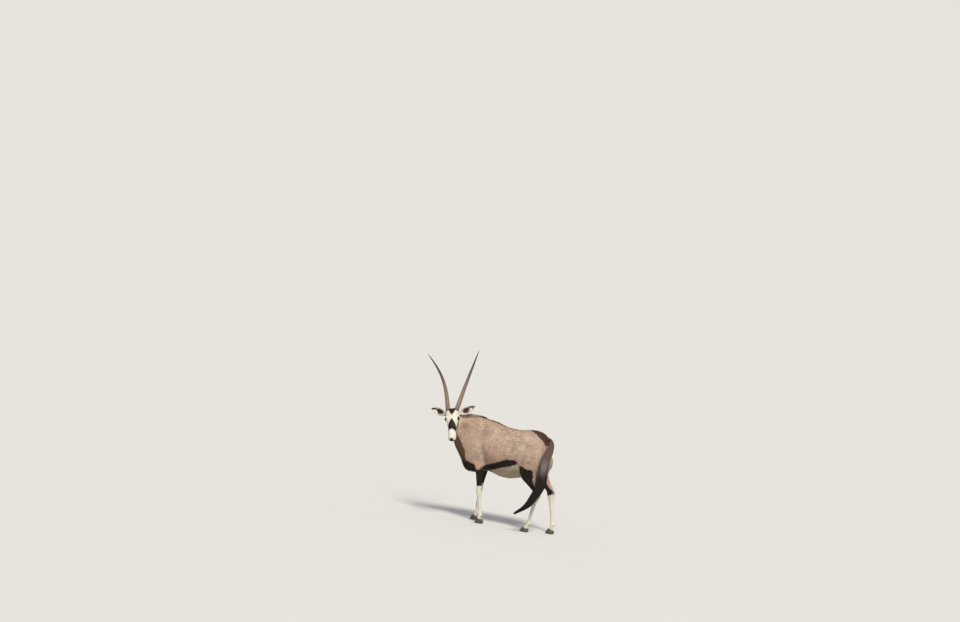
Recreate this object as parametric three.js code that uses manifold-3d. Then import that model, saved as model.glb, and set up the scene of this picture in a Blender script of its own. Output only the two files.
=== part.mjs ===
// A life-size adult gemsbok, a large oryx with long straight horns, as a still model.
// It stands side on with its head turned to its left and its tail swung round its left hock.
// Sizes are in millimetres. The animal faces -X, its left side faces -Y, and +Z is up.
import * as THREE from "three";
import { mergeVertices } from "three/addons/utils/BufferGeometryUtils.js";
import Module from "manifold-3d";

const wasm = await Module();
wasm.setup();

// Driving sizes
const GAP = 0.3; // between pieces that touch
const WITHERS = 1185; // height of the shoulder hump without its hair
const CROUP = 1164; // height of the rump's top
const BACK_HEIGHT = 1118; // height of the back's lowest point
const CHEST_FLOOR = 580; // height of the breastbone
const BELLY_FLOOR = 556; // height of the belly's lowest point
const BARREL_WIDTH = 430; // across the ribs
const CHEST_FRONT = -276; // how far forward the breast reaches
const RUMP_BACK = 748; // how far back the buttocks reach
const LEG_SPREAD = 108; // from the middle plane to a foot
const NOSE = 375; // from between the horns to the nose's tip
const HORN_LENGTH = 860;
const HORN_BASE = 27; // radius
const HORN_RIDGES = 13; // raised rings on the lower part of each horn
const HORN_ROOT_DEPTH = 26; // of each horn's length, sunk in the skull
const EAR_LENGTH = 220;
const EAR_WIDTH = 94;
const EYE_RADIUS = 19;
const LID_THICKNESS = 4;
const HOOF_LENGTH = 95;
const HOOF_WIDTH = 40; // of one claw
const CORONET = 46; // height of the hoof's upper edge under the leg's middle

// How the head is held: its place between the horns, turn, dip below level, and lean to its right
const BROW = [-394, -289, 1257];
const FACE_TURN = 14; // degrees from -Y towards +X
const FACE_DIP = 57;
const FACE_LEAN = 11;

// How fine the skins are: rings along each form, and points round it
const TRUNK_MESH = [36, 28];
const LEG_MESH = [24, 12];
const HEAD_MESH = [26, 22];
const TAIL_MESH = [14, 6];

const COAT = 0xb39b82;
const FACE = 0xe4dccf;
const EAR = 0xa8917a;
const DARK_HAIR = 0x2b211c;
const HORN = 0x5b4d41;
const HOOF = 0x6d6157;
const EYEBALL = 0x17100c;

const UP = new THREE.Vector3(0, 0, 1);
const ACROSS = new THREE.Vector3(0, 1, 0);
const { degToRad, lerp, clamp } = THREE.MathUtils;

const point = (xyz) => new THREE.Vector3(...xyz);
const facing = (x, y, z) => new THREE.Vector3(x, y, z).normalize();
const curve = (places) => new THREE.CatmullRomCurve3(places, false, "catmullrom", 0.5);

// A seeded source of even draws from 0 to 1.
function drawer(seed) {
  let state = seed;
  return () => {
    state = (state * 16807) % 2147483647;
    return state / 2147483647;
  };
}

// Fields: each gives about how far a point lies outside a form, and is negative inside it

// An egg of flesh: an ellipsoid, turned about X, Y and Z by degrees.
function egg(centre, radii, turn = [0, 0, 0]) {
  const c = point(centre);
  const r = point(radii);
  const unturn = new THREE.Quaternion()
    .setFromEuler(new THREE.Euler(...turn.map(degToRad)))
    .invert();
  const q = new THREE.Vector3();
  return (p) => {
    q.copy(p).sub(c).applyQuaternion(unturn).divide(r);
    const outer = q.length();
    const inner = q.divide(r).length();
    return inner < 1e-9 ? -Math.min(...radii) : (outer * (outer - 1)) / inner;
  };
}

// A stem of flesh: ovals strung on a curve. A station is [x, y, z, half depth, half width],
// with its width along side. The field carries its curve and the curve of its half sizes.
function stem(stations, side = ACROSS, steps = 5) {
  const path = curve(stations.map(point));
  const sizes = curve(stations.map((s) => new THREE.Vector3(s[3], s[4], 0)));
  const count = (stations.length - 1) * steps;
  const ovals = [];
  for (let i = 0; i <= count; i++) {
    const along = path.getTangent(i / count);
    const wide = side.clone().addScaledVector(along, -along.dot(side)).normalize();
    const deep = along.clone().cross(wide);
    ovals.push({ at: path.getPoint(i / count), size: sizes.getPoint(i / count), wide, deep });
  }
  const [q, step, offset, middle] = [0, 0, 0, 0].map(() => new THREE.Vector3());
  const field = (p) => {
    let nearest = Infinity;
    let found = 0;
    for (let i = 0; i < count; i++) {
      step.copy(ovals[i + 1].at).sub(ovals[i].at);
      const share = clamp(q.copy(p).sub(ovals[i].at).dot(step) / step.lengthSq(), 0, 1);
      const away = q.addScaledVector(step, -share).lengthSq();
      if (away < nearest) {
        nearest = away;
        found = i + share;
      }
    }
    const low = ovals[Math.min(Math.floor(found), count - 1)];
    const high = ovals[Math.min(Math.floor(found), count - 1) + 1];
    const share = found - Math.min(Math.floor(found), count - 1);
    offset.copy(p).sub(middle.copy(low.at).lerp(high.at, share));
    const size = q.copy(low.size).lerp(high.size, share);
    const [depth, width] = [size.x, size.y];
    const v = lerp(low.deep.dot(offset), high.deep.dot(offset), share);
    const u = lerp(low.wide.dot(offset), high.wide.dot(offset), share);
    const w = Math.sqrt(Math.max(0, offset.lengthSq() - u * u - v * v));
    const least = Math.min(depth, width);
    return (Math.hypot(v / depth, u / width, w / least) - 1) * least;
  };
  field.path = path;
  field.sizes = sizes;
  return field;
}

// Fields that flow together over a fillet about k wide.
const blend = (k, ...fields) => (p) =>
  fields.reduce((least, field) => {
    const distance = field(p);
    const overlap = Math.max(k - Math.abs(least - distance), 0) / k;
    return Math.min(least, distance) - (overlap * overlap * k) / 4;
  }, Infinity);

// A field drawn in by an amount.
const inset = (field, amount) => (p) => field(p) + amount;

// Solids

function solid(positions, triangles) {
  const vertProperties = new Float32Array(positions);
  const triVerts = new Uint32Array(triangles);
  return new wasm.Manifold(new wasm.Mesh({ numProp: 3, vertProperties, triVerts }));
}

// The solid of a closed geometry.
function solidOf(geometry) {
  geometry.deleteAttribute("normal");
  geometry.deleteAttribute("uv");
  const whole = mergeVertices(geometry, 1e-3);
  return solid(whole.getAttribute("position").array, whole.index.array);
}

// A solid skinned over rings of as many points each, with a lone point at both ends.
// Its faces are turned round where they come out facing inwards, as on a mirrored form.
function skin(rings) {
  const positions = rings.flat().flatMap((p) => [p.x, p.y, p.z]);
  const sides = rings[1].length;
  const last = positions.length / 3 - 1;
  const index = (ring, side) => 1 + (ring - 1) * sides + (side % sides);
  const triangles = [];
  for (let side = 0; side < sides; side++) {
    triangles.push(0, index(1, side + 1), index(1, side));
    for (let ring = 1; ring < rings.length - 2; ring++) {
      const [a, b] = [index(ring, side), index(ring, side + 1)];
      const [c, d] = [index(ring + 1, side), index(ring + 1, side + 1)];
      triangles.push(a, b, c, b, d, c);
    }
    const end = rings.length - 2;
    triangles.push(index(end, side), index(end, side + 1), last);
  }
  const whole = solid(positions, triangles);
  return whole.volume() > 0 ? whole : solid(positions, triangles.reverse());
}

// The middle of a ring, which closes it flat.
const cap = (ring) => [
  ring.reduce((sum, p) => sum.add(p), new THREE.Vector3()).divideScalar(ring.length),
];

// Where a line thrown out from a point inside a field leaves it.
function cast(field, origin, direction) {
  const spot = new THREE.Vector3();
  let [inside, outside, value] = [0, 0, -1];
  while (value < 0) {
    inside = outside;
    outside += Math.max(2, -0.7 * value);
    value = field(spot.copy(origin).addScaledVector(direction, outside));
  }
  for (let i = 0; i < 18; i++) {
    const middle = (inside + outside) / 2;
    if (field(spot.copy(origin).addScaledVector(direction, middle)) < 0) inside = middle;
    else outside = middle;
  }
  return origin.clone().addScaledVector(direction, inside);
}

// The surface of a field as rings of points thrown out from a path through it.
// The rings lie across the path, and fan over at both ends.
function wrap(field, path, rings, sides, side = ACROSS, fan = 4) {
  const ring = (t, tilt) => {
    const origin = path.getPoint(t);
    const along = path.getTangent(t);
    const wide = side.clone().addScaledVector(along, -along.dot(side)).normalize();
    const deep = along.clone().cross(wide);
    if (Math.abs(tilt) === 90) {
      return [cast(field, origin, along.clone().multiplyScalar(Math.sign(tilt)))];
    }
    return Array.from({ length: sides }, (_, i) => {
      const turn = (2 * Math.PI * i) / sides;
      const out = wide.clone().multiplyScalar(Math.cos(turn));
      out.addScaledVector(deep, Math.sin(turn)).multiplyScalar(Math.cos(degToRad(tilt)));
      return cast(field, origin, out.addScaledVector(along, Math.sin(degToRad(tilt))));
    });
  };
  const all = [];
  for (let i = 0; i < fan; i++) all.push(ring(0, -90 + (90 * i) / fan));
  for (let i = 0; i <= rings; i++) all.push(ring(i / rings, 0));
  for (let i = 1; i <= fan; i++) all.push(ring(1, (90 * i) / fan));
  return skin(all);
}

// A lock of hair: a flat strip along a path, widest a third of the way down, with a sharp tip.
// A place on it is its middle and the direction of its width there.
function lock(placeAt, { halfWidth, halfThickness, steps }) {
  const middleAt = (t) => placeAt(t).middle;
  const rings = [];
  for (let i = 0; i < steps; i++) {
    const t = i / steps;
    const { middle, wide } = placeAt(t);
    const along = middleAt(t + 0.02).sub(middle).normalize();
    const across = wide.clone().addScaledVector(along, -along.dot(wide)).normalize();
    const swell = Math.sin(Math.PI * lerp(0.25, 1, t));
    const half = across.clone().multiplyScalar(halfWidth * swell);
    const thick = along.clone().cross(across).multiplyScalar(halfThickness * Math.sqrt(swell));
    rings.push([
      middle.clone().add(half),
      middle.clone().add(thick),
      middle.clone().sub(half),
      middle.clone().sub(thick),
    ]);
  }
  return skin([cap(rings[0]), ...rings, [middleAt(1)]]);
}

// A ball or egg with few faces.
function ball(centre, radii, sides = 10, rows = 6, turn = [0, 0, 0]) {
  const geometry = new THREE.SphereGeometry(1, sides, rows).scale(...radii);
  geometry.applyQuaternion(
    new THREE.Quaternion().setFromEuler(new THREE.Euler(...turn.map(degToRad))),
  );
  return solidOf(geometry.translate(...centre));
}

// All that lies beyond a plane, as a large block.
function beyond(spot, normal) {
  const size = 6000;
  const geometry = new THREE.BoxGeometry(size, size, size).translate(0, 0, size / 2);
  geometry.applyQuaternion(
    new THREE.Quaternion().setFromUnitVectors(UP, normal.clone().normalize()),
  );
  return solidOf(geometry.translate(spot.x, spot.y, spot.z));
}

const join = (...solids) => solids.reduce((sum, next) => sum.add(next));

// A solid's largest closed piece.
const largest = (whole) =>
  whole.decompose().reduce((best, next) => (next.volume() > best.volume() ? next : best));

// Parts a solid by a thin cut round the space beyond some planes, each a spot and a normal.
// Gives first what lies in that space, then the rest.
function part(whole, ...planes) {
  const space = (shift) =>
    planes
      .map(([spot, normal]) => beyond(spot.clone().addScaledVector(normal, shift), normal))
      .reduce((common, next) => common.intersect(next));
  return [
    largest(whole.intersect(space(GAP / 2))),
    largest(whole.subtract(space(-GAP / 2))),
  ];
}

// Trunk and neck

const trunkForms = [
  egg([215, 0, 850], [325, BARREL_WIDTH / 2 - 8, BACK_HEIGHT - 866]),
  egg([265, 0, 765], [270, 190, 760 - BELLY_FLOOR]),
  egg([-60, 0, 820], [196, 150, 812 - CHEST_FLOOR]),
  egg([CHEST_FRONT + 118, 0, 660], [112, 84, 104]),
  egg([-25, 0, WITHERS - 136], [205, 60, 128]),
  egg([415, 0, 965], [200, 155, BACK_HEIGHT - 975]),
  egg([550, 0, CROUP - 150], [172, 138, 142]),
  egg([RUMP_BACK - 166, 0, 925], [158, 146, 185]),
  egg([430, 0, 800], [185, 172, 190]),
];
for (const side of [-1, 1]) {
  trunkForms.push(egg([-78, side * 112, 880], [105, 62, 255], [0, 22, 0]));
  trunkForms.push(egg([RUMP_BACK - 165, side * 100, 845], [158, 84, 232]));
}
const backRidge = stem([
  [60, 0, 1085, 75, 60],
  [200, 0, 1062, 64, 75],
  [350, 0, 1050, 62, 80],
  [480, 0, 1050, 66, 80],
]);
const crest = stem([
  [-60, 0, 1110, 66, 52],
  [-172, -35, 1126, 60, 46],
  [-261, -90, 1116, 58, 46],
  [-345, -142, 1150, 60, 52],
  [-408, -196, 1192, 62, 58],
]);
const throat = stem([
  [-190, -8, 665, 82, 78],
  [-272, -28, 765, 72, 70],
  [-328, -84, 880, 66, 66],
  [-350, -136, 1000, 62, 62],
  [-372, -178, 1110, 58, 58],
]);
const neckMiddle = egg([-215, -36, 945], [150, 104, 190]);
const trunkField = blend(70, ...trunkForms, backRidge, crest, throat, neckMiddle);
const trunkPath = curve(
  [
    [700, 0, 925],
    [520, 0, 915],
    [330, 0, 870],
    [130, 0, 862],
    [0, 0, 890],
    [-110, -8, 925],
    [-200, -35, 965],
    [-280, -82, 1018],
    [-342, -138, 1085],
    [-388, -188, 1146],
  ].map(point),
);
const trunkSolid = (grow) => wrap(inset(trunkField, -grow), trunkPath, ...TRUNK_MESH);

// The short mane: locks in two staggered rows along the crest, which lean back as they rise.
const MANE_LOCKS = 24;
const MANE_HEIGHT = 40; // above the skin
const MANE_ROOT = 16; // below the skin
const MANE_TILT = 12; // degrees from the crest's own plane to each row
const MANE_LOCK = { halfWidth: 18, halfThickness: 5, steps: 3 };
const maneRandom = drawer(7);
function maneLock(i) {
  const row = (i % 2) * 2 - 1;
  const t = lerp(0.07, 0.8, i / (MANE_LOCKS - 1));
  const along = crest.path.getTangent(t);
  const aside = UP.clone().cross(along).normalize();
  const rise = along.clone().cross(aside).normalize();
  const lean = degToRad(row * MANE_TILT + 8 * (maneRandom() - 0.5));
  const up = rise.multiplyScalar(Math.cos(lean)).addScaledVector(aside, Math.sin(lean));
  const root = cast(trunkField, crest.path.getPoint(t), up).addScaledVector(up, -MANE_ROOT);
  const height = (MANE_HEIGHT + MANE_ROOT) * lerp(0.85, 1.1, maneRandom());
  return lock(
    (s) => ({
      middle: root
        .clone()
        .addScaledVector(up, height * Math.sin(1.3 * s))
        .addScaledVector(along, -0.75 * height * s * s),
      wide: along.clone().addScaledVector(aside, 0.25 * row),
    }),
    MANE_LOCK,
  );
}

// Legs

// A foreleg. The foot may stand ahead of the elbow or behind it.
function foreleg(side, elbow, foot) {
  const at = (height, forward, depth, width, inward = 0) => [
    lerp(foot, elbow, height / 640) - forward,
    side * (lerp(LEG_SPREAD - 4, LEG_SPREAD + 16, height / 640) - inward),
    height,
    depth,
    width,
  ];
  return stem([
    at(800, 62, 92, 40, 34),
    at(730, 32, 94, 44, 8),
    at(668, 8, 72, 42),
    at(605, 2, 54, 38),
    at(530, 3, 42, 32),
    at(430, 6, 32, 27),
    at(352, 9, 35, 31),
    at(300, 1, 25, 24),
    at(215, 0, 20, 19),
    at(135, -3, 21, 21),
    at(98, -7, 28, 26),
    at(66, 0, 24, 25),
    at(30, 10, 33, 33),
  ]);
}

// A hind leg, from the fore edge of its stifle to its hock and foot.
function hindleg(side, stifle, hock, fetlock, foot) {
  const at = (x, height, depth, width, inward = 0) => [
    x,
    side * (lerp(LEG_SPREAD + 4, LEG_SPREAD + 12, height / 700) - inward),
    height,
    depth,
    width,
  ];
  return stem([
    at(stifle + 160, 865, 132, 72, 30),
    at(stifle + 150, 790, 140, 76, 10),
    at(stifle + 128, 722, 124, 68),
    at(lerp(stifle + 106, hock, 0.16), 655, 96, 57),
    at(lerp(stifle + 84, hock, 0.46), 590, 60, 44),
    at(hock - 32, 505, 38, 28),
    at(hock - 2, 440, 42, 32),
    at(lerp(hock, fetlock, 0.22), 370, 29, 27),
    at(lerp(hock, fetlock, 0.58), 245, 22, 21),
    at(lerp(hock, fetlock, 0.88), 145, 23, 22),
    at(fetlock, 108, 30, 27),
    at(lerp(fetlock, foot, 0.55), 72, 25, 26),
    at(foot + 2, 30, 33, 33),
  ]);
}

// The back of the thigh, the sinew below it, and the bony point that stands back from a hock.
const hamstring = (side, hock) =>
  stem([
    [RUMP_BACK - 120, side * (LEG_SPREAD - 26), 865, 44, 44],
    [RUMP_BACK - 72, side * (LEG_SPREAD - 8), 775, 52, 48],
    [lerp(650, hock - 52, 0.45), side * (LEG_SPREAD + 6), 695, 42, 38],
    [lerp(650, hock - 52, 0.75), side * (LEG_SPREAD + 8), 625, 26, 24],
    [hock - 26, side * (LEG_SPREAD + 8), 555, 15, 15],
    [hock + 10, side * (LEG_SPREAD + 8), 505, 13, 13],
    [hock + 28, side * (LEG_SPREAD + 8), 462, 18, 16],
    [hock + 14, side * (LEG_SPREAD + 7), 410, 16, 16],
  ]);

// A solid leg, sunk in the trunk by its upper end.
const legSolid = (form, extras) =>
  wrap(blend(30, form, ...extras), form.path, ...LEG_MESH, ACROSS, 2);

function describeForeleg(name, side, elbow, foot) {
  const form = foreleg(side, elbow, foot);
  return { name, side, foot, form, extras: [], fore: true, front: elbow - 130, back: elbow + 105 };
}

function describeHindleg(name, side, stifle, hock, fetlock, foot) {
  const form = hindleg(side, stifle, hock, fetlock, foot);
  const extras = [hamstring(side, hock)];
  return { name, side, foot, form, extras, fore: false, front: stifle + 4, back: 1000 };
}

const legs = [
  describeForeleg("fore_left", -1, -24, 54),
  describeForeleg("fore_right", 1, -52, -82),
  describeHindleg("hind_left", -1, 425, 700, 646, 610),
  describeHindleg("hind_right", 1, 480, 786, 856, 847),
];

// The plane of a hoof's upper edge, which falls towards the heel.
const coronetAt = (leg) => new THREE.Vector3(leg.foot, leg.side * (LEG_SPREAD - 4), CORONET);
const coronetNormal = new THREE.Vector3(Math.sin(degToRad(16)), 0, Math.cos(degToRad(16)));

// One claw of a hoof: a toe that narrows forwards over a flat sole.
function claw(leg, side) {
  const ring = (height, front, back, wide, sway) =>
    Array.from({ length: 10 }, (_, i) => {
      const turn = (2 * Math.PI * i) / 10;
      const reach = Math.cos(turn);
      const x = reach < 0 ? reach * front : reach * back;
      const narrowing = 1 - 0.42 * Math.max(0, -reach) ** 2;
      const middle = leg.side * (LEG_SPREAD - 4) + side * (wide * 0.52 + sway);
      const y = middle + wide * 0.5 * Math.sin(turn) * narrowing;
      return new THREE.Vector3(leg.foot + x, y, height);
    });
  const toe = HOOF_LENGTH * 0.62;
  const heel = HOOF_LENGTH * 0.38;
  const rings = [
    ring(0, toe, heel, HOOF_WIDTH, 0),
    ring(12, toe - 6, heel + 1, HOOF_WIDTH, 0),
    ring(CORONET + 34, toe - 38, heel - 4, HOOF_WIDTH * 0.78, -3),
  ];
  return skin([cap(rings[0]), ...rings, cap(rings[2])]);
}

// A hoof of two claws with a pad that binds them behind.
function hoof(leg) {
  const y = leg.side * (LEG_SPREAD - 4);
  const pad = ball([leg.foot + 12, y, 24], [24, 22, 22], 8, 4);
  const whole = join(claw(leg, -1), claw(leg, 1), pad);
  const top = coronetAt(leg).addScaledVector(coronetNormal, -GAP / 2);
  return largest(whole.subtract(beyond(top, coronetNormal)));
}

// The two small false hooves behind a fetlock.
const falseHooves = (leg) => {
  const low = leg.form.path.getPoint(0.8);
  return [-1, 1].map((side) =>
    ball([low.x + 27, low.y + side * 13, low.z - 14], [11, 9, 17], 6, 4, [0, 25, 0]),
  );
};

// Head, in its own frame: +X to the nose, +Y to its left, +Z out of the face, from the brow

const headFrame = (() => {
  const turn = degToRad(FACE_TURN);
  const forward = new THREE.Vector3(Math.sin(turn), -Math.cos(turn), 0);
  const left = UP.clone().cross(forward);
  const level = new THREE.Matrix4().makeBasis(forward, left, UP);
  const lean = new THREE.Matrix4().makeRotationX(degToRad(FACE_LEAN));
  const dip = new THREE.Matrix4().makeRotationY(degToRad(FACE_DIP));
  return new THREE.Matrix4().makeTranslation(...BROW).multiply(level).multiply(lean).multiply(dip);
})();
const inHead = (xyz) => point(xyz).applyMatrix4(headFrame);

// A solid of the head's frame, set in its place on the animal.
function placeHead(whole) {
  const mesh = whole.getMesh();
  const spot = new THREE.Vector3();
  const positions = Array.from(mesh.vertProperties);
  for (let i = 0; i < positions.length; i += 3) {
    spot.fromArray(positions, i).applyMatrix4(headFrame).toArray(positions, i);
  }
  return solid(positions, mesh.triVerts);
}

const EYE = [104, 66, -42]; // of the left eye; the right one mirrors it
const faceForm = stem([
  [60, 0, -60, 62, 68],
  [120, 0, -58, 58, 66],
  [190, 0, -58, 54, 50],
  [260, 0, -53, 48, 42],
  [310, 0, -50, 44, 41],
  [345, 0, -48, 41, 42],
  [NOSE - 22, 0, -46, 30, 34],
]);
const jawForm = stem([
  [70, 0, -140, 42, 47],
  [150, 0, -128, 38, 46],
  [230, 0, -108, 28, 37],
  [300, 0, -96, 21, 32],
  [NOSE - 42, 0, -92, 18, 29],
]);
const headForms = [
  egg([22, 0, -80], [70, 64, 72]),
  egg([72, 0, -58], [80, 66, 58]),
  faceForm,
  jawForm,
];
for (const side of [-1, 1]) {
  headForms.push(egg([105, side * 34, -118], [82, 34, 62], [0, 12, 0]));
  headForms.push(egg([EYE[0] - 2, side * (EYE[1] - 12), EYE[2]], [40, 26, 32]));
  headForms.push(egg([8, side * 40, -34], [34, 30, 30]));
  headForms.push(stem([
    [NOSE - 110, side * 35, -72, 8, 7],
    [NOSE - 65, side * 36, -67, 9, 8],
    [NOSE - 25, side * 28, -61, 9, 8],
  ]));
  headForms.push(stem([
    [NOSE - 110, side * 29, -93, 7, 6],
    [NOSE - 72, side * 28, -88, 8, 7],
    [NOSE - 40, side * 20, -83, 8, 7],
  ]));
}
const headField = blend(22, ...headForms);
const headPath = curve(
  [
    [-5, 0, -82],
    [60, 0, -88],
    [140, 0, -82],
    [230, 0, -72],
    [300, 0, -68],
    [NOSE - 35, 0, -64],
  ].map(point),
);

// The line of the mouth: a thin sloping slot that runs back from the lips and stays shallow.
const MOUTH = { length: 150, gap: 3, depth: 6, rise: 9, back: 48, height: -75 };
function mouth() {
  const slot = new THREE.BoxGeometry(MOUTH.length, 140, MOUTH.gap).rotateY(degToRad(-MOUTH.rise));
  slot.translate(NOSE - MOUTH.back, 0, MOUTH.height);
  const core = wrap(inset(headField, MOUTH.depth), headPath, 10, 12);
  return solidOf(slot).subtract(core);
}

// The almond between the lids, seen along the eye's own axis.
const ALMOND = { halfLength: 17, halfHeight: 11, turn: [20, 25, 8] };
function eyeOpening(side) {
  const turned = new THREE.Euler(...ALMOND.turn.map(degToRad));
  const rings = [10, 60].map((out) =>
    Array.from({ length: 12 }, (_, i) => {
      const turn = (2 * Math.PI * i) / 12;
      const reach = Math.cos(turn);
      const rise = Math.sin(turn) * (1 - 0.35 * reach * reach);
      const p = new THREE.Vector3(reach * ALMOND.halfLength, out, rise * ALMOND.halfHeight);
      p.applyEuler(turned);
      return new THREE.Vector3(EYE[0] + p.x, side * (EYE[1] + p.y), EYE[2] + p.z);
    }),
  );
  return skin([cap(rings[0]), ...rings, cap(rings[1])]);
}

const eyeball = (side, radius) =>
  ball([EYE[0], side * EYE[1], EYE[2]], [radius, radius, radius], 12, 8);

const nostril = (side) =>
  ball([NOSE - 16, side * 21, -34], [9, 6, 14], 8, 6, [side * 24, 30, 0]);

// An ear: a leaf that is cupped towards the front, thickest at its root.
const EAR_ROOT = [26, 66, -84];
const EAR_AXIS = new THREE.Vector3(-0.45, 0.89, 0).normalize();
const CUP_FACES = new THREE.Vector3(0.47, 0.12, 0.88);
function ear(side, grow) {
  const axis = EAR_AXIS.clone();
  const face = CUP_FACES.clone().addScaledVector(axis, -axis.dot(CUP_FACES)).normalize();
  const wide = axis.clone().cross(face);
  const outline = curve(
    [
      [0, 24, 0],
      [0.18, 30, 0],
      [0.42, EAR_WIDTH / 2, 0],
      [0.68, EAR_WIDTH / 2 - 6, 0],
      [0.88, 22, 0],
      [1, 3, 0],
    ].map(point),
  );
  const rings = [];
  for (let i = 0; i <= 9; i++) {
    const { x: t, y: half } = outline.getPoint(i / 9);
    const deep = half * 0.62;
    const thick = lerp(9, 4, Math.min(1, t * 2.5));
    const hollow = clamp((t - 0.16) / 0.16, 0, 1);
    const place = (u, v) =>
      new THREE.Vector3(EAR_ROOT[0], EAR_ROOT[1], EAR_ROOT[2])
        .addScaledVector(axis, t * EAR_LENGTH - 8)
        .addScaledVector(wide, u)
        .addScaledVector(face, v);
    const ring = [];
    for (let j = 0; j <= 7; j++) {
      const turn = Math.PI * (j / 7) - Math.PI / 2;
      ring.push(place((half + grow) * Math.sin(turn), -(deep + grow) * Math.cos(turn)));
    }
    for (let j = 1; j <= 5; j++) {
      const turn = Math.PI / 2 - Math.PI * (j / 6);
      const dip = lerp(deep * 0.35, -(deep - thick), hollow) * Math.cos(turn);
      ring.push(place((half - 3) * Math.sin(turn), dip + grow));
    }
    rings.push(ring.map((p) => new THREE.Vector3(p.x, side * p.y, p.z)));
  }
  return skin([cap(rings[0]), ...rings, cap(rings[9])]);
}

// A horn: long, almost straight and ringed over its lower half. It sags inwards from the line of
// its axis, and its tip rises outwards from it, each horn by its own amount.
const HORN_ROOT = [-2, 50, -30];
const HORN_BENDS = { left: { sag: 10, rise: -18 }, right: { sag: 52, rise: 36 } };
function horn(side, grow) {
  const { sag, rise } = side < 0 ? HORN_BENDS.right : HORN_BENDS.left;
  const axis = new THREE.Vector3(-0.945, 0.272, -0.18).normalize();
  const out = new THREE.Vector3(0.28, 0.96, 0);
  const length = HORN_LENGTH + HORN_ROOT_DEPTH;
  const rings = [];
  const ridged = 0.52;
  const heights = [];
  for (let i = 0; i < HORN_RIDGES; i++) {
    const start = 0.06 + (i / HORN_RIDGES) * (ridged - 0.06);
    const pitch = (ridged - 0.06) / HORN_RIDGES;
    heights.push([start, 0], [start + pitch * 0.55, 2.2 * (1 - i / (HORN_RIDGES + 3))]);
  }
  for (const t of [0.53, 0.66, 0.78, 0.88, 0.95, 0.985]) heights.push([t, 0]);
  heights.unshift([0, 0]);
  for (const [t, ridge] of heights) {
    const radius = HORN_BASE * (1 - t) ** 0.6 * (1 + 0.04 * (1 - t)) + ridge + grow;
    const bend = rise * t ** 3 - sag * Math.sin(Math.PI * t);
    const centre = new THREE.Vector3(HORN_ROOT[0], HORN_ROOT[1], HORN_ROOT[2])
      .addScaledVector(axis, t * length)
      .addScaledVector(out, bend);
    const wide = ACROSS.clone().addScaledVector(axis, -axis.y).normalize();
    const deep = axis.clone().cross(wide);
    rings.push(
      Array.from({ length: 8 }, (_, i) => {
        const turn = (2 * Math.PI * i) / 8;
        const p = centre.clone().addScaledVector(wide, radius * 0.92 * Math.cos(turn));
        return p.addScaledVector(deep, radius * Math.sin(turn));
      }).map((p) => new THREE.Vector3(p.x, side * p.y, p.z)),
    );
  }
  const tip = new THREE.Vector3(HORN_ROOT[0], HORN_ROOT[1], HORN_ROOT[2])
    .addScaledVector(axis, length)
    .addScaledVector(out, rise);
  const start = new THREE.Vector3(HORN_ROOT[0], side * HORN_ROOT[1], HORN_ROOT[2]);
  return skin([[start], ...rings, [new THREE.Vector3(tip.x, side * tip.y, tip.z)]]);
}

// Tail: it leaves the rump's top, hangs behind it and swings forward on the left

const tailSide = new THREE.Vector3(0.94, 0.342, 0);
const TAIL_DOCK = [
  [700, 0, 1092, 22, 24],
  [742, -8, 1076, 22, 26],
];
const TAIL_HAIR = [
  [766, -40, 1026, 24, 36],
  [775, -112, 935, 28, 52],
  [764, -170, 832, 32, 64],
  [762, -213, 721, 36, 72],
  [776, -240, 613, 36, 70],
  [756, -258, 518, 33, 60],
  [712, -272, 418, 28, 50],
  [646, -282, 315, 20, 36],
  [522, -290, 212, 5, 7],
];
const tailForm = stem([...TAIL_DOCK, ...TAIL_HAIR], tailSide);

// The tail's long hair: locks in tiers down a slim core, each swinging out to the tail's outline.
const TAIL_TIERS = 6;
const TAIL_LOCKS = 4; // in each tier
const TAIL_CORE = 0.46; // of the tail's full depth and width
const TAIL_CORE_END = 7; // of the hair's stations
const tailCore = stem(
  [
    ...TAIL_DOCK,
    ...TAIL_HAIR.slice(0, TAIL_CORE_END).map(([x, y, z, depth, width]) => [
      x,
      y,
      z,
      Math.max(10, depth * TAIL_CORE),
      Math.max(14, width * TAIL_CORE),
    ]),
  ],
  tailSide,
);
const tailRandom = drawer(11);
function tailLock(tier, place) {
  const down = tier / (TAIL_TIERS - 1);
  const from = lerp(0.13, 0.74, down) + 0.03 * (tailRandom() - 0.5);
  const reach = lerp(0.3, 0.26, down);
  const turn = (2 * Math.PI * (place + 0.5 * (tier % 2) + 0.25 * tailRandom())) / TAIL_LOCKS;
  const swing = lerp(0.94, 1, tailRandom());
  return lock(
    (s) => {
      const t = Math.min(1, from + reach * s);
      const along = tailForm.path.getTangent(t);
      const wide = tailSide.clone().addScaledVector(along, -along.dot(tailSide)).normalize();
      const deep = along.clone().cross(wide);
      const { x: depth, y: width } = tailForm.sizes.getPoint(t);
      const out = swing * lerp(0.34, 0.88, Math.sin(1.5 * s));
      return {
        middle: tailForm.path
          .getPoint(t)
          .addScaledVector(wide, out * width * Math.cos(turn))
          .addScaledVector(deep, out * depth * Math.sin(turn)),
        wide: wide
          .multiplyScalar(-Math.sin(turn) * width)
          .addScaledVector(deep, Math.cos(turn) * depth),
      };
    },
    { halfWidth: lerp(34, 25, down), halfThickness: 5, steps: 3 },
  );
}

// The whole animal

const legSolids = legs.map((leg) => join(legSolid(leg.form, leg.extras), ...falseHooves(leg)));
const bareHead = placeHead(
  join(
    wrap(headField, headPath, ...HEAD_MESH),
    eyeball(-1, EYE_RADIUS + LID_THICKNESS),
    eyeball(1, EYE_RADIUS + LID_THICKNESS),
  ),
);
let body = largest(join(trunkSolid(0), bareHead, ...legSolids));

const pieces = [];
const keep = (name, whole, colour, roughness = 0.9) =>
  pieces.push({ name, whole: largest(whole), colour, roughness });

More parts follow.
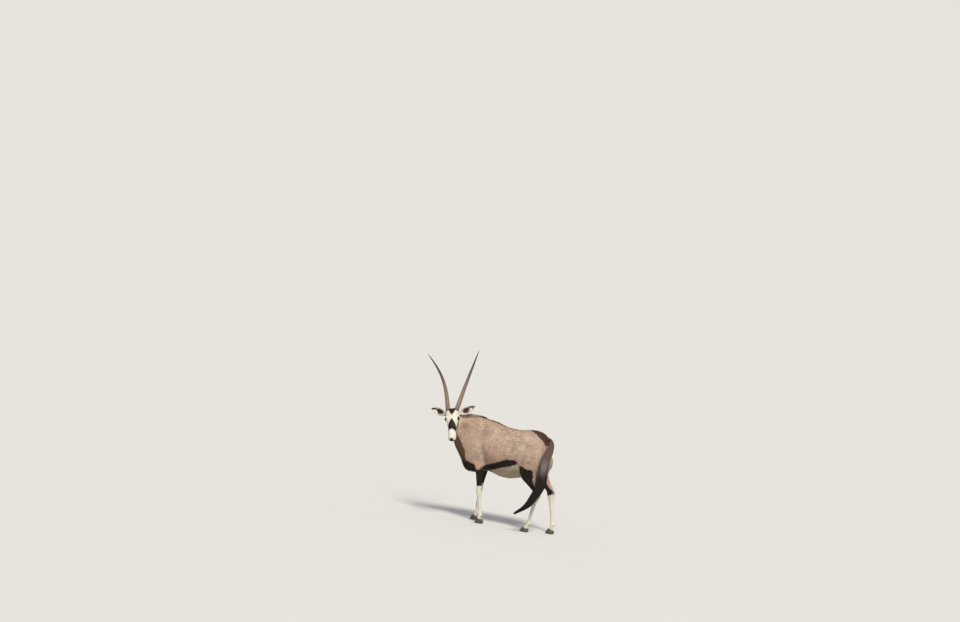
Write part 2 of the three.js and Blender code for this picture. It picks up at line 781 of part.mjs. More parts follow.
// Tail, cut to meet the rump
let tail = wrap(tailCore, tailCore.path, ...TAIL_MESH, tailSide, 2);
for (let tier = 0; tier < TAIL_TIERS; tier++) {
  for (let place = 0; place < TAIL_LOCKS; place++) tail = tail.add(tailLock(tier, place));
}
keep("tail", tail.subtract(trunkSolid(GAP)), DARK_HAIR);

// Legs and hooves
for (const leg of legs) {
  const [tilt, inner, low] = leg.fore ? [38, 45, CHEST_FLOOR + 6] : [55, 24, CHEST_FLOOR + 42];
  const top = facing(0, leg.side * Math.sin(degToRad(tilt)), -Math.cos(degToRad(tilt)));
  const [one, rest] = part(
    body,
    [new THREE.Vector3(0, leg.side * inner, low), top],
    [new THREE.Vector3(0, leg.side * inner, 0), facing(0, leg.side, 0)],
    [new THREE.Vector3(leg.front, 0, 0), facing(1, 0, 0)],
    [new THREE.Vector3(leg.back, 0, 0), facing(-1, 0, 0)],
  );
  body = rest;
  const foot = coronetAt(leg).addScaledVector(coronetNormal, GAP / 2);
  keep(`leg_${leg.name}`, one.intersect(beyond(foot, coronetNormal)), COAT);
  keep(`hoof_${leg.name}`, hoof(leg), HOOF, 0.55);
}

// Head, neck and torso
const nape = inHead([22, 0, -138]);
const napeNormal = inHead([22.42, 0, -137]).sub(nape).normalize();
const beforeChest = [new THREE.Vector3(CHEST_FRONT + 40, 0, 0), facing(-1, 0, 0)];
const [faceAndEars, headless] = part(body, [nape, napeNormal], beforeChest);
let head = faceAndEars;
const shoulder = [new THREE.Vector3(-150, 0, 930), facing(-0.9, -0.06, 0.42)];
const [neck, torso] = part(headless, shoulder);
for (const side of [-1, 1]) {
  const sideName = side < 0 ? "right" : "left";
  head = head
    .subtract(placeHead(eyeball(side, EYE_RADIUS + GAP)))
    .subtract(placeHead(eyeOpening(side)))
    .subtract(placeHead(nostril(side)))
    .subtract(placeHead(ear(side, GAP)))
    .subtract(placeHead(horn(side, GAP)));
  keep(`eye_${sideName}`, placeHead(eyeball(side, EYE_RADIUS)), EYEBALL, 0.15);
  keep(`ear_${sideName}`, placeHead(ear(side, 0)), EAR);
  keep(`horn_${sideName}`, placeHead(horn(side, 0)), HORN, 0.5);
}
keep("head", head.subtract(placeHead(mouth())), FACE);
keep("neck", join(neck, ...Array.from({ length: MANE_LOCKS }, (_, i) => maneLock(i))), COAT);
keep("torso", torso, COAT);

// The scene graph, with the model's origin under the middle of its box

const gemsbok = new THREE.Group();
for (const { name, whole, colour, roughness } of pieces) {
  const { vertProperties, triVerts } = whole.getMesh();
  const geometry = new THREE.BufferGeometry();
  geometry.setAttribute("position", new THREE.BufferAttribute(vertProperties, 3));
  geometry.setIndex(new THREE.BufferAttribute(triVerts, 1));
  geometry.computeVertexNormals();
  const material = new THREE.MeshStandardMaterial({ color: colour, roughness, metalness: 0 });
  const mesh = new THREE.Mesh(geometry, material);
  mesh.name = name;
  gemsbok.add(mesh);
}
const box = new THREE.Box3().setFromObject(gemsbok);
gemsbok.position.set(-(box.min.x + box.max.x) / 2, -(box.min.y + box.max.y) / 2, 0);
gemsbok.updateMatrixWorld(true);

export default gemsbok;
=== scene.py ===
"""A still, life-size gemsbok as a museum shows one: coat, face, ears, eyes, horns, mane, tail and hooves."""
import logging
import math
from dataclasses import dataclass, field
from enum import Enum
from typing import Sequence

import bmesh
import bpy
import numpy as np
from mathutils import Matrix, Vector
from mathutils.bvhtree import BVHTree


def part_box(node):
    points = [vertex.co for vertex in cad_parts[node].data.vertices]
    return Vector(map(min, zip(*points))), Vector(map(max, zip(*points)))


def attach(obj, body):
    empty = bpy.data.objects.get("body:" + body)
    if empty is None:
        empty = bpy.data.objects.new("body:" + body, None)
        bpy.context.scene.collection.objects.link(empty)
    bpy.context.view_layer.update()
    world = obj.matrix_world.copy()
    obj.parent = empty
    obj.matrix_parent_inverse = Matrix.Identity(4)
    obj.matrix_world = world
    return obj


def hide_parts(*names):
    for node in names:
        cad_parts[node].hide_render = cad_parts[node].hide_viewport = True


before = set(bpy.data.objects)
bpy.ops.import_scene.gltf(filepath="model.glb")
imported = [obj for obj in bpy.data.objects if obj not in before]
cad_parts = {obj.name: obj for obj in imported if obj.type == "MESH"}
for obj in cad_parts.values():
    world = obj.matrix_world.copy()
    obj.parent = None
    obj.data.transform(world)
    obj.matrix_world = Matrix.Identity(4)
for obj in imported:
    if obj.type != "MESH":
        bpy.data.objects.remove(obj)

log = logging.getLogger("gemsbok")

for left_over in ("Cube", "Light", "Camera"):
    if left_over in bpy.data.objects:
        bpy.data.objects.remove(bpy.data.objects[left_over])
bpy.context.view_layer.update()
MM = 0.001
FLESH = ("torso", "neck", "head", "ear_left", "ear_right",
         "leg_fore_left", "leg_fore_right", "leg_hind_left", "leg_hind_right")
Array = np.ndarray
Colour = Place = tuple[float, float, float]
Corners = tuple[tuple[float, float], ...]
Faces = list[tuple[int, ...]]
Socket = bpy.types.NodeSocket
# The least distance that a marking stores: as good as none of it near
FAR_OUT = -60.0


# Measures and places

def smooth(low: float, high: float, value: Array) -> Array:
    """A soft step from 0 at low to 1 at high."""
    t = np.clip((value - low) / (high - low), 0.0, 1.0)
    return t * t * (3.0 - 2.0 * t)


def bump(value: Array, middle: float, reach: float) -> Array:
    """A soft hump of height 1 round middle that ends about twice reach away."""
    return np.exp(-((value - middle) / reach) ** 2)


def rotation(axis: str, degrees: float) -> Array:
    """The 3 by 3 matrix of a turn about X, Y or Z."""
    return np.array(Matrix.Rotation(math.radians(degrees), 3, axis))


# How the left eye looks out in the head's frame
EYE_TURN = rotation("X", 20) @ rotation("Y", 25) @ rotation("Z", 8)


def to_left(local: Array) -> Array:
    """Places in the head's frame, with those on its right side mirrored to its left."""
    return np.stack([local[:, 0], np.abs(local[:, 1]), local[:, 2]], 1)


def side_name(side: int) -> str:
    """The word for a side: 1 is the animal's left."""
    return "left" if side > 0 else "right"


def unit(vectors: Array) -> Array:
    """Vectors scaled to length 1."""
    return vectors / np.maximum(np.linalg.norm(vectors, axis=-1, keepdims=True), 1e-12)


def spline(stations: Sequence[Sequence[float]], steps: int) -> Array:
    """A smooth run through stations, as a Catmull-Rom curve in every column.

    Args:
        stations: rows of numbers, the first three of them a place.
        steps: how many rows to give back.

    Returns:
        An array of steps rows.
    """
    rows = np.array(stations, float)
    rows = np.vstack([2 * rows[0] - rows[1], rows, 2 * rows[-1] - rows[-2]])
    at = np.linspace(0, len(rows) - 3, steps)
    low = np.minimum(at.astype(int), len(rows) - 4)
    t = (at - low)[:, None]
    a, b, c, d = (rows[low + i] for i in range(4))
    return 0.5 * (2 * b + (c - a) * t + (2 * a - 5 * b + 4 * c - d) * t**2 + (3 * b - a - 3 * c + d) * t**3)


@dataclass
class Stance:
    """How the animal stands. Its plan is in millimetres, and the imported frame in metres.

    The head has a frame of its own: X to the nose, Y to the animal's left and Z out of the face,
    from the brow between the horns.
    """

    brow: Place = (-394.0, -289.0, 1257.0)
    face_turn: float = 14.0
    face_dip: float = 57.0
    face_lean: float = 11.0
    eye: Place = (104.0, 66.0, -42.0)
    eye_radius: float = 19.0
    shift: Array = field(init=False)
    turn: Array = field(init=False)

    def __post_init__(self) -> None:
        """Finds the frame's shift from where the left eye was packed."""
        turn = math.radians(self.face_turn)
        forward = np.array([math.sin(turn), -math.cos(turn), 0])
        level = np.stack([forward, np.cross([0, 0, 1], forward), [0, 0, 1]], 1)
        self.turn = level @ rotation("X", self.face_lean) @ rotation("Y", self.face_dip)
        low, high = (np.array(corner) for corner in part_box("eye_left"))
        self.shift = (low + high) / 2 - self.head_to_plan(np.array([self.eye]))[0] * MM

    def head_to_plan(self, local: Array) -> Array:
        """Places in the head's frame as places in the plan."""
        return local @ self.turn.T + np.array(self.brow)

    def plan_to_head(self, plan: Array) -> Array:
        """Places in the plan as places in the head's frame."""
        return (plan - np.array(self.brow)) @ self.turn

    def in_head(self, local: Array) -> Array:
        """Which places in the head's frame belong to the head, apart from the ears."""
        return self.head_share(local) > 0

    def head_share(self, local: Array) -> Array:
        """How far places in the head's frame belong to the head, fading from 1 to 0 where the neck starts."""
        x, y, z = local.T
        nape = np.interp(x, (-60, 0, 70, 150, 400), (-40, -95, -165, -190, -190))
        inside = (x > -60) & (x < 410) & (np.abs(y) < 120) & (z > nape) & (z < 90)
        return inside * smooth(-4, 55, z - nape)

    def from_eye(self, local: Array) -> Array:
        """The distance of places in the head's frame from the nearer eye's middle."""
        return np.linalg.norm(to_left(local) - np.array(self.eye), axis=1)

    def to_frame(self, plan: Array) -> Array:
        """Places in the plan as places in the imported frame."""
        return plan * MM + self.shift

    def to_plan(self, places: Array) -> Array:
        """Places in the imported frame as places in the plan."""
        return (places - self.shift) / MM


# Meshes

def put(name: str, content: bpy.types.ID | None) -> bpy.types.Object:
    """Puts a mesh, a lamp or a camera in the scene as an object at the origin."""
    piece = bpy.data.objects.new(name, content)
    bpy.context.scene.collection.objects.link(piece)
    return piece


def new_mesh(name: str, points: Array, faces: Sequence[Sequence[int]]) -> bpy.types.Object:
    """Puts a new mesh in the scene, with smooth shading."""
    mesh = bpy.data.meshes.new(name)
    mesh.from_pydata([tuple(p) for p in points], [], [tuple(f) for f in faces])
    mesh.shade_smooth()
    mesh.update()
    return put(name, mesh)


def joined(first: tuple[Array, Faces], second: tuple[Array, Faces]) -> tuple[Array, Faces]:
    """Two skins as one: their points and faces."""
    offset = len(first[0])
    return np.vstack([first[0], second[0]]), first[1] + [tuple(i + offset for i in f) for f in second[1]]


def loft(rings: Array) -> tuple[Array, Faces]:
    """Points and faces of a closed skin over rings of as many points each.

    Args:
        rings: an array of rings, sides and 3 coordinates. A fan closes each end.

    Returns:
        The points and the faces.
    """
    count, sides = rings.shape[:2]
    points = rings.reshape(-1, 3)
    faces: Faces = []
    for ring in range(count - 1):
        for side in range(sides):
            a, b = ring * sides + side, ring * sides + (side + 1) % sides
            faces.append((a, b, b + sides, a + sides))
    points = np.vstack([points, rings[0].mean(0), rings[-1].mean(0)])
    start, end = count * sides, count * sides + 1
    last = (count - 1) * sides
    for side in range(sides):
        faces.append((side, start, (side + 1) % sides))
        faces.append((last + side, last + (side + 1) % sides, end))
    return points, faces


def outward(piece: bpy.types.Object) -> bpy.types.Object:
    """Turns all faces of a closed mesh outwards."""
    work = bmesh.new()
    work.from_mesh(piece.data)
    bmesh.ops.remove_doubles(work, verts=work.verts, dist=1e-6)
    bmesh.ops.recalc_face_normals(work, faces=work.faces)
    work.to_mesh(piece.data)
    work.free()
    piece.data.shade_smooth()
    return piece


def points_of(mesh: bpy.types.Mesh) -> Array:
    """A mesh's points as an array."""
    flat = np.empty(len(mesh.vertices) * 3)
    mesh.vertices.foreach_get("co", flat)
    return flat.reshape(-1, 3)


def normals_of(mesh: bpy.types.Mesh) -> Array:
    """A mesh's normals at its points as an array."""
    flat = np.empty(len(mesh.vertices) * 3, np.float32)
    mesh.vertex_normals.foreach_get("vector", flat)
    return flat.reshape(-1, 3).astype(float)


def set_points(mesh: bpy.types.Mesh, points: Array) -> None:
    """Moves a mesh's points."""
    mesh.vertices.foreach_set("co", points.ravel())
    mesh.update()


def set_attribute(mesh: bpy.types.Mesh, name: str, values: Array) -> None:
    """Stores one number, or one vector, at each point of a mesh."""
    kind = "FLOAT_VECTOR" if values.ndim == 2 else "FLOAT"
    layer = mesh.attributes.new(name, kind, "POINT")
    layer.data.foreach_set("vector" if values.ndim == 2 else "value", values.astype(np.float32).ravel())


def bake_modifiers(piece: bpy.types.Object) -> None:
    """Replaces an object's mesh by its evaluated one and drops its modifiers."""
    graph = bpy.context.evaluated_depsgraph_get()
    mesh = bpy.data.meshes.new_from_object(piece.evaluated_get(graph), preserve_all_data_layers=True,
                                           depsgraph=graph)
    piece.modifiers.clear()
    old = piece.data
    piece.data = mesh
    bpy.data.meshes.remove(old)


def finish_piece(piece: bpy.types.Object, replaced: Sequence[str] = ()) -> None:
    """Hands a piece to the frame: what it rides on and the nodes that it stands for."""
    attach(piece, "root")
    if replaced:
        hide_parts(*replaced)
    log.info("%s: %d faces", piece.name, len(piece.data.polygons))


# Node trees

class Graph:
    """A thin hand for wiring a node tree."""

    def __init__(self, tree: bpy.types.NodeTree) -> None:
        """Starts on a tree."""
        self.tree = tree

    def add(self, kind: str, inputs: dict | None = None, **settings: object) -> bpy.types.Node:
        """Adds a node.

        Args:
            kind: the node's type.
            inputs: socket name or number to a value or an output socket.
            settings: the node's own properties.

        Returns:
            The node.
        """
        node = self.tree.nodes.new(kind)
        for key, value in settings.items():
            setattr(node, key, value)
        self.feed(node, inputs or {})
        return node

    def feed(self, node: bpy.types.Node, inputs: dict) -> None:
        """Sets inputs of a node, each to a value or to an output socket."""
        for key, value in inputs.items():
            socket = node.inputs[key]
            if isinstance(value, Socket):
                self.tree.links.new(value, socket)
            elif socket.type == "RGBA":
                socket.default_value = (*value, 1.0)
            else:
                socket.default_value = value

    def math(self, operation: str, a: object, b: object, c: object = 0.0) -> Socket:
        """The result of a sum on two numbers, or on three where the operation takes three."""
        return self.add("ShaderNodeMath", {0: a, 1: b, 2: c}, operation=operation).outputs[0]

    def split(self, vector: Socket) -> tuple[Socket, Socket, Socket]:
        """The three numbers of a vector."""
        return tuple(self.add("ShaderNodeSeparateXYZ", {0: vector}).outputs)

    def join(self, x: object, y: object, z: object = 0.0) -> Socket:
        """A vector of three numbers."""
        return self.add("ShaderNodeCombineXYZ", {0: x, 1: y, 2: z}).outputs[0]

    def noise(self, place: Socket, scale: float, detail: float = 3.0, roughness: float = 0.55) -> Socket:
        """Even noise from 0 to 1 at a place."""
        node = self.add("ShaderNodeTexNoise", {"Vector": place, "Scale": scale, "Detail": detail,
                                               "Roughness": roughness})
        return node.outputs["Fac"]

    def ramp(self, value: Socket, low: float, high: float) -> Socket:
        """A soft step of a number from 0 at low to 1 at high."""
        node = self.add("ShaderNodeMapRange", {"Value": value, "From Min": low, "From Max": high},
                        interpolation_type="SMOOTHSTEP")
        return node.outputs["Result"]

    def mix(self, share: object, a: object, b: object) -> Socket:
        """A colour between two others."""
        return self.add("ShaderNodeMix", {0: share, 6: a, 7: b}, data_type="RGBA").outputs[2]

    def place(self) -> Socket:
        """A shader's place on its object."""
        return self.add("ShaderNodeTexCoord").outputs["Object"]

    def attribute(self, name: str, output: str = "Fac") -> Socket:
        """A shader's reading of a stored attribute."""
        return self.add("ShaderNodeAttribute", attribute_name=name).outputs[output]

    def brightened(self, colour: Socket, value: Socket) -> Socket:
        """A colour with its brightness multiplied."""
        return self.add("ShaderNodeHueSaturation", {"Color": colour, "Value": value}).outputs["Color"]

    def bumps(self, height: Socket, strength: float, distance: float) -> Socket:
        """The normal of a surface with fine bumps."""
        inputs = {"Height": height, "Strength": strength, "Distance": distance}
        return self.add("ShaderNodeBump", inputs).outputs["Normal"]


def new_material(name: str) -> tuple[bpy.types.Material, Graph, bpy.types.Node]:
    """A material with its graph and its main shader, which is wired to the surface."""
    material = bpy.data.materials.new(name)
    material.use_nodes = True
    return material, Graph(material.node_tree), material.node_tree.nodes["Principled BSDF"]


@dataclass(frozen=True)
class CoatFinish:
    """Short flat hair in the gemsbok's colours, which the skin's stored markings lay out, together with
    painted shade in folds, on the lower flank, on the thigh and under the belly, and painted highlights on
    the hip, the rump and the elbow.
    """

    name: str = "gemsbok_coat"
    fawn: Colour = (0.555, 0.38, 0.275)
    grey_fawn: Colour = (0.465, 0.335, 0.248)
    # the real pale of the face, the ears and the coat's lighter patches, and the colour of the body's painted
    # highlights
    pale: Colour = (0.69, 0.58, 0.45)
    # painted shade: a dark greyish brown laid where folds, the lower flank and the thigh fall in shade, and
    # for the ear's shadow on the neck
    shade: Colour = (0.2, 0.125, 0.088)
    dark: Colour = (0.016, 0.008, 0.0055)
    brown: Colour = (0.15, 0.075, 0.045)
    white: Colour = (0.7, 0.65, 0.55)
    # the underside's colour, a tan darker than the flank: the real pale belly painted in shade
    belly: Colour = (0.42, 0.35, 0.25)
    bare: Colour = (0.012, 0.009, 0.008)
    hair_scale: float = 420.0

    def build(self) -> bpy.types.Material:
        """Builds the material."""
        material, graph, shader = new_material(self.name)
        place = graph.place()
        coat = graph.mix(graph.ramp(graph.noise(place, 4.5, 3.0), 0.35, 0.68), self.fawn, self.grey_fawn)
        patches = graph.math("MULTIPLY", graph.ramp(graph.noise(place, 17.0, 4.0), 0.45, 0.75), 0.35)
        coat = graph.mix(patches, coat, self.pale)
        # Mixes in, in turn, the pale face with painted highlights on the body, the painted shade, and the
        # belly's tone with its painted shade
        for name, colour in (("pale", self.pale), ("shade", self.shade), ("belly", self.belly)):
            coat = graph.mix(graph.attribute(name), coat, colour)
        uneven = graph.math("SUBTRACT", graph.noise(place, 60.0, 5.0, 0.7), 0.5)
        edge = graph.math("MULTIPLY", uneven, 16.0)
        dark_line = graph.math("ADD", graph.attribute("dark"), edge)
        white_line = graph.math("ADD", graph.attribute("white"), edge)
        coat = graph.mix(graph.ramp(white_line, -3.0, 4.0), coat, self.white)
        blackish = graph.mix(graph.attribute("brown"), self.dark, self.brown)
        coat = graph.mix(graph.ramp(dark_line, -4.0, 4.0), coat, blackish)
        coat = graph.mix(graph.attribute("bare"), coat, self.bare)
        streak = graph.noise(graph.attribute("strand", "Vector"), 1.0, 4.0, 0.65)
        streaks = graph.math("MULTIPLY_ADD", graph.ramp(streak, 0.3, 0.7), 0.16, 0.88)
        flecks = graph.math("MULTIPLY_ADD", graph.ramp(graph.noise(place, 90.0, 3.0), 0.3, 0.7), 0.1, 0.95)
        tone = graph.brightened(coat, graph.math("MULTIPLY", streaks, flecks))
        hairs = graph.noise(place, self.hair_scale, 3.0, 0.7)
        height = graph.math("ADD", hairs, graph.math("MULTIPLY", streak, 1.4))
        normal = graph.bumps(height, 0.35, 0.0012)
        graph.feed(shader, {"Base Color": tone, "Normal": normal, "Roughness": 0.62, "Sheen Weight": 0.04,
                            "Sheen Roughness": 0.45, "Specular IOR Level": 0.2})
        return material


@dataclass(frozen=True)
class HairFinish:
    """Long coarse hair in locks, darker or browner from lock to lock, with a soft gloss and a painted
    highlight where one is stored.
    """

    name: str
    root: Colour
    tip: Colour
    warm: Colour = (0.12, 0.072, 0.054)
    # colour of the painted highlight on the tail's hair
    shine: Colour = (0.3, 0.25, 0.23)
    roughness: float = 0.42

    def build(self) -> bpy.types.Material:
        """Builds the material."""
        material, graph, shader = new_material(self.name)
        place = graph.place()
        drawn = graph.math("MULTIPLY", graph.attribute("draw"), 0.5)
        share = graph.math("MULTIPLY_ADD", graph.attribute("tip"), 0.5, drawn)
        tone = graph.mix(share, self.root, self.tip)
        tone = graph.mix(graph.attribute("warm"), tone, self.warm)
        # mixes in the painted highlight
        tone = graph.mix(graph.attribute("shine"), tone, self.shine)
        tone = graph.brightened(tone, graph.math("ADD", graph.noise(place, 55.0, 4.0), 0.5))
        normal = graph.bumps(graph.noise(place, 900.0, 2.0), 0.25, 0.0006)
        graph.feed(shader, {"Base Color": tone, "Normal": normal, "Roughness": self.roughness,
                            "Specular IOR Level": 0.3})
        return material


@dataclass(frozen=True)
class HornFinish:
    """Horn: long grain and fine rings, grey-brown at the root and near black at the tip."""

    name: str
    root: Colour
    tip: Colour
    roughness: float = 0.46

    def build(self) -> bpy.types.Material:
        """Builds the material."""
        material, graph, shader = new_material(self.name)
        grain = graph.noise(graph.attribute("strand", "Vector"), 1.0, 5.0, 0.65)
        cloud = graph.noise(graph.place(), 30.0, 4.0)
        tone = graph.mix(graph.attribute("tip"), self.root, self.tip)
        tone = graph.mix(graph.attribute("worn"), tone, tuple(c * 1.7 for c in self.root))
        value = graph.math("ADD", graph.math("MULTIPLY", grain, 0.9), graph.math("MULTIPLY", cloud, 0.5))
        tone = graph.brightened(tone, graph.math("ADD", value, 0.3))
        rough = graph.math("MULTIPLY_ADD", cloud, 0.2, self.roughness - 0.1)
        normal = graph.bumps(grain, 0.4, 0.0008)
        graph.feed(shader, {"Base Color": tone, "Normal": normal, "Roughness": rough})
        return material


@dataclass(frozen=True)
class EyeFinish:
    """A wet dark eye: a wide black pupil in a brown iris, under a clear coat."""

    name: str = "gemsbok_eye"
    pupil: Colour = (0.003, 0.003, 0.004)
    iris: Colour = (0.045, 0.018, 0.008)
    rim: Colour = (0.012, 0.007, 0.005)

    def build(self) -> bpy.types.Material:
        """Builds the material."""
        material, graph, shader = new_material(self.name)
        place = graph.attribute("iris", "Vector")
        x, y, away = graph.split(place)
        squeezed = graph.join(x, graph.math("MULTIPLY", y, 1.9))
        reach = graph.add("ShaderNodeVectorMath", {0: squeezed}, operation="LENGTH").outputs["Value"]
        tone = graph.mix(graph.noise(place, 14.0, 5.0, 0.7), self.iris, tuple(c * 2.2 for c in self.iris))
        tone = graph.mix(graph.ramp(away, 0.55, 0.72), tone, self.rim)
        tone = graph.mix(graph.ramp(reach, 0.42, 0.5), self.pupil, tone)
        graph.feed(shader, {"Base Color": tone, "Roughness": 0.12, "Coat Weight": 1.0,
                            "Coat Roughness": 0.03})
        return material


@dataclass(frozen=True)
class FloorFinish:
    """A plain pale floor."""

    name: str = "studio_floor"
    tone: Colour = (0.6, 0.575, 0.54)

    def build(self) -> bpy.types.Material:
        """Builds the material."""
        material, graph, shader = new_material(self.name)
        grey = tuple(c * 0.96 for c in self.tone)
        tone = graph.mix(graph.noise(graph.place(), 3.0, 4.0), self.tone, grey)
        graph.feed(shader, {"Base Color": tone, "Roughness": 0.85})
        return material


# Legs

@dataclass(frozen=True)
class Leg:
    """A leg's middle line as heights and places along the animal, for its markings and its hair."""

    name: str
    side: int
    fore: bool
    foot: float
    heights: tuple[float, ...]
    places: tuple[float, ...]

    def middle(self, height: Array) -> Array:
        """Where the middle line is along the animal at a height."""
        return np.interp(height, self.heights[::-1], self.places[::-1])

    def beside(self, height: Array) -> Array:
        """How far to the side the middle line is at a height."""
        if self.fore:
            return self.side * (104 + 20 * np.clip(height / 640, 0, 1.2))
        return self.side * (112 + 8 * np.clip(height / 700, 0, 1.2))


def foreleg(name: str, side: int, elbow: float, foot: float) -> Leg:
    """A foreleg from its elbow's and foot's places along the animal."""
    bends = ((800, 62), (730, 32), (668, 8), (605, 2), (530, 3), (430, 6), (352, 9), (300, 1), (215, 0),
             (135, -3), (98, -7), (66, 0), (30, 10))
    return Leg(name, side, True, foot, tuple(float(z) for z, _ in bends),
               tuple(foot + (elbow - foot) * z / 640 - forward for z, forward in bends))


def hindleg(name: str, side: int, stifle: float, hock: float, fetlock: float, foot: float) -> Leg:
    """A hind leg from its stifle's fore edge, hock, fetlock and foot along the animal."""
    def between(a: float, b: float, share: float) -> float:
        return a + (b - a) * share
    run = ((865, stifle + 160), (790, stifle + 150), (722, stifle + 128),
           (655, between(stifle + 106, hock, 0.16)), (590, between(stifle + 84, hock, 0.46)),
           (505, hock - 32), (440, hock - 2), (370, between(hock, fetlock, 0.22)),
           (245, between(hock, fetlock, 0.58)), (145, between(hock, fetlock, 0.88)), (108, fetlock),
           (72, between(fetlock, foot, 0.55)), (30, foot + 2))
    return Leg(name, side, False, foot, tuple(float(z) for z, _ in run), tuple(x for _, x in run))


LEGS = (foreleg("fore_left", -1, -24, 54), foreleg("fore_right", 1, -52, -82),
        hindleg("hind_left", -1, 425, 700, 646, 610), hindleg("hind_right", 1, 480, 786, 856, 847))
# Lines in the plan, in millimetres: the neck's top and its underside, and the tail's middle,
# which also has half its depth and half its width
CREST = ((-60, 0, 1110), (-172, -35, 1126), (-261, -90, 1116), (-345, -142, 1150), (-408, -196, 1192))
THROAT = ((-190, -8, 665), (-272, -28, 765), (-328, -84, 880), (-350, -136, 1000), (-372, -178, 1110))
TAIL = ((700, 0, 1092, 22, 24), (742, -8, 1076, 22, 26), (766, -40, 1026, 24, 36),
        (775, -112, 935, 28, 52), (764, -170, 832, 32, 64), (762, -213, 721, 36, 72),
        (776, -240, 613, 36, 70), (756, -258, 518, 33, 60), (712, -272, 418, 28, 50),
        (646, -282, 315, 20, 36), (522, -290, 212, 5, 7))
TAIL_SIDE = np.array([0.94, 0.342, 0.0])
NECK_STATIONS = 25


def along_neck(plan: Array) -> tuple[Array, Array, Array]:
    """The neck's middle line, its way down at each station, and the station nearest to each place."""
    crest, throat = spline(CREST, NECK_STATIONS), spline(THROAT, NECK_STATIONS)
    middle = (crest + throat) / 2
    nearest = np.argmin(((plan[:, None] - middle[None]) ** 2).sum(2), axis=1)
    return middle, unit(throat - crest), nearest


def along_crest(steps: int) -> tuple[Array, Array, Array, Array]:
    """The crest's line, and its directions along, aside and out of the neck."""
    crest = spline(CREST, steps)
    along = unit(np.gradient(crest, axis=0))
    aside = unit(np.cross([0, 0, 1], along))
    return crest, along, aside, np.cross(along, aside)


# Ears

@dataclass
class Ear:
    """A leaf-shaped ear, cupped to the front. Places on it are t along, u across and v out of it."""

    stance: Stance
    side: int
    root: Place = (26.0, 66.0, -84.0)
    axis: Place = (-0.45, 0.89, 0.0)
    faces: Place = (0.47, 0.12, 0.88)
    length: float = 220.0
    sunk: float = 8.0
    outline: Corners = ((0, 24), (0.18, 30), (0.42, 47), (0.68, 41), (0.88, 22), (1, 4))
    rings: int = 26
    cup: float = 0.62
    wall: tuple[float, float] = (10.0, 7.0)

    def basis(self) -> tuple[Array, Array, Array]:
        """The ear's directions in the head's frame, for the left ear: along, across and out of the cup."""
        along = unit(np.array(self.axis))
        out = np.array(self.faces)
        out = unit(out - along * along.dot(out))
        return along, np.cross(along, out), out

    def place(self, t: Array, u: Array, v: Array) -> Array:
        """Places in the ear as places in the plan."""
        along, across, out = self.basis()
        local = (np.array(self.root) + np.multiply.outer(t * self.length - self.sunk, along)
                 + np.multiply.outer(u, across) + np.multiply.outer(v, out))
        return self.stance.head_to_plan(local * [1, self.side, 1])

    def locate(self, plan: Array) -> tuple[Array, Array, Array]:
        """Places in the plan as t, u and v in the ear."""
        local = self.stance.plan_to_head(plan) * [1, self.side, 1] - np.array(self.root)
        along, across, out = self.basis()
        return (local @ along + self.sunk) / self.length, local @ across, local @ out

    def holds(self, place: tuple[Array, Array, Array], low: float = 0.1, reach: float | Array = 70) -> Array:
        """Which places given as t, u and v lie on the ear, from low upwards."""
        t, u, v = place
        return (t > low) & (t < 1.1) & (np.abs(u) < reach) & (np.abs(v) < 60)

    def half_width(self, t: Array) -> Array:
        """Half the ear's width at t."""
        rows = spline([(x, y, 0) for x, y in self.outline], 60)
        return np.interp(t, rows[:, 0], rows[:, 1])

    def shell(self) -> tuple[Array, Faces]:
        """The ear as a closed cup in the plan: its points and faces."""
        rings = []
        back = np.linspace(-math.pi / 2, math.pi / 2, 20)
        front = np.linspace(math.pi / 2, -math.pi / 2, 18)[1:-1]
        for t in np.linspace(0, 1, self.rings):
            half = float(self.half_width(t))
            deep = half * self.cup
            thick = np.interp(t, (0, 0.4), self.wall)
            hollow = float(smooth(0.14, 0.34, np.array(t)))
            floor = (1 - hollow) * deep * 0.35 - hollow * max(deep - thick, 0)
            u = np.concatenate([half * np.sin(back), max(half - 4, 1) * np.sin(front)])
            v = np.concatenate([-deep * np.cos(back), floor * np.cos(front)])
            rings.append(self.place(np.full(len(u), t), u, v))
        return loft(np.array(rings))


# Markings

def side_distance(x: Array, z: Array, corners: Sequence[tuple[float, float]]) -> Array:
    """How far points lie inside a flat shape, negative outside it.

    Args:
        x: the points' first coordinates.
        z: their second coordinates.
        corners: the shape's corners in turn.

    Returns:
        One distance for each point.
    """
    nearest = np.full(len(x), 1e9)
    crossings = np.zeros(len(x), int)
    for (x0, z0), (x1, z1) in zip(corners, (*corners[1:], corners[0])):
        dx, dz = x1 - x0, z1 - z0
        share = np.clip(((x - x0) * dx + (z - z0) * dz) / max(dx * dx + dz * dz, 1e-9), 0, 1)
        nearest = np.minimum(nearest, np.hypot(x - x0 - share * dx, z - z0 - share * dz))
        if z0 != z1:
            spans = (z0 > z) != (z1 > z)
            crossings += spans & (x < (z - z0) * dx / dz + x0)
    return np.where(crossings % 2 == 1, nearest, -nearest)


def line_distance(points: Array, line: Sequence[Sequence[float]]) -> Array:
    """The distance from points to a bent line."""
    nearest = np.full(len(points), 1e9)
    for start, end in zip(line, line[1:]):
        a, step = np.array(start[:3], float), np.subtract(end[:3], start[:3]).astype(float)
        share = np.clip((points - a) @ step / step.dot(step), 0, 1)
        nearest = np.minimum(nearest, np.linalg.norm(points - a - share[:, None] * step, axis=1))
    return nearest


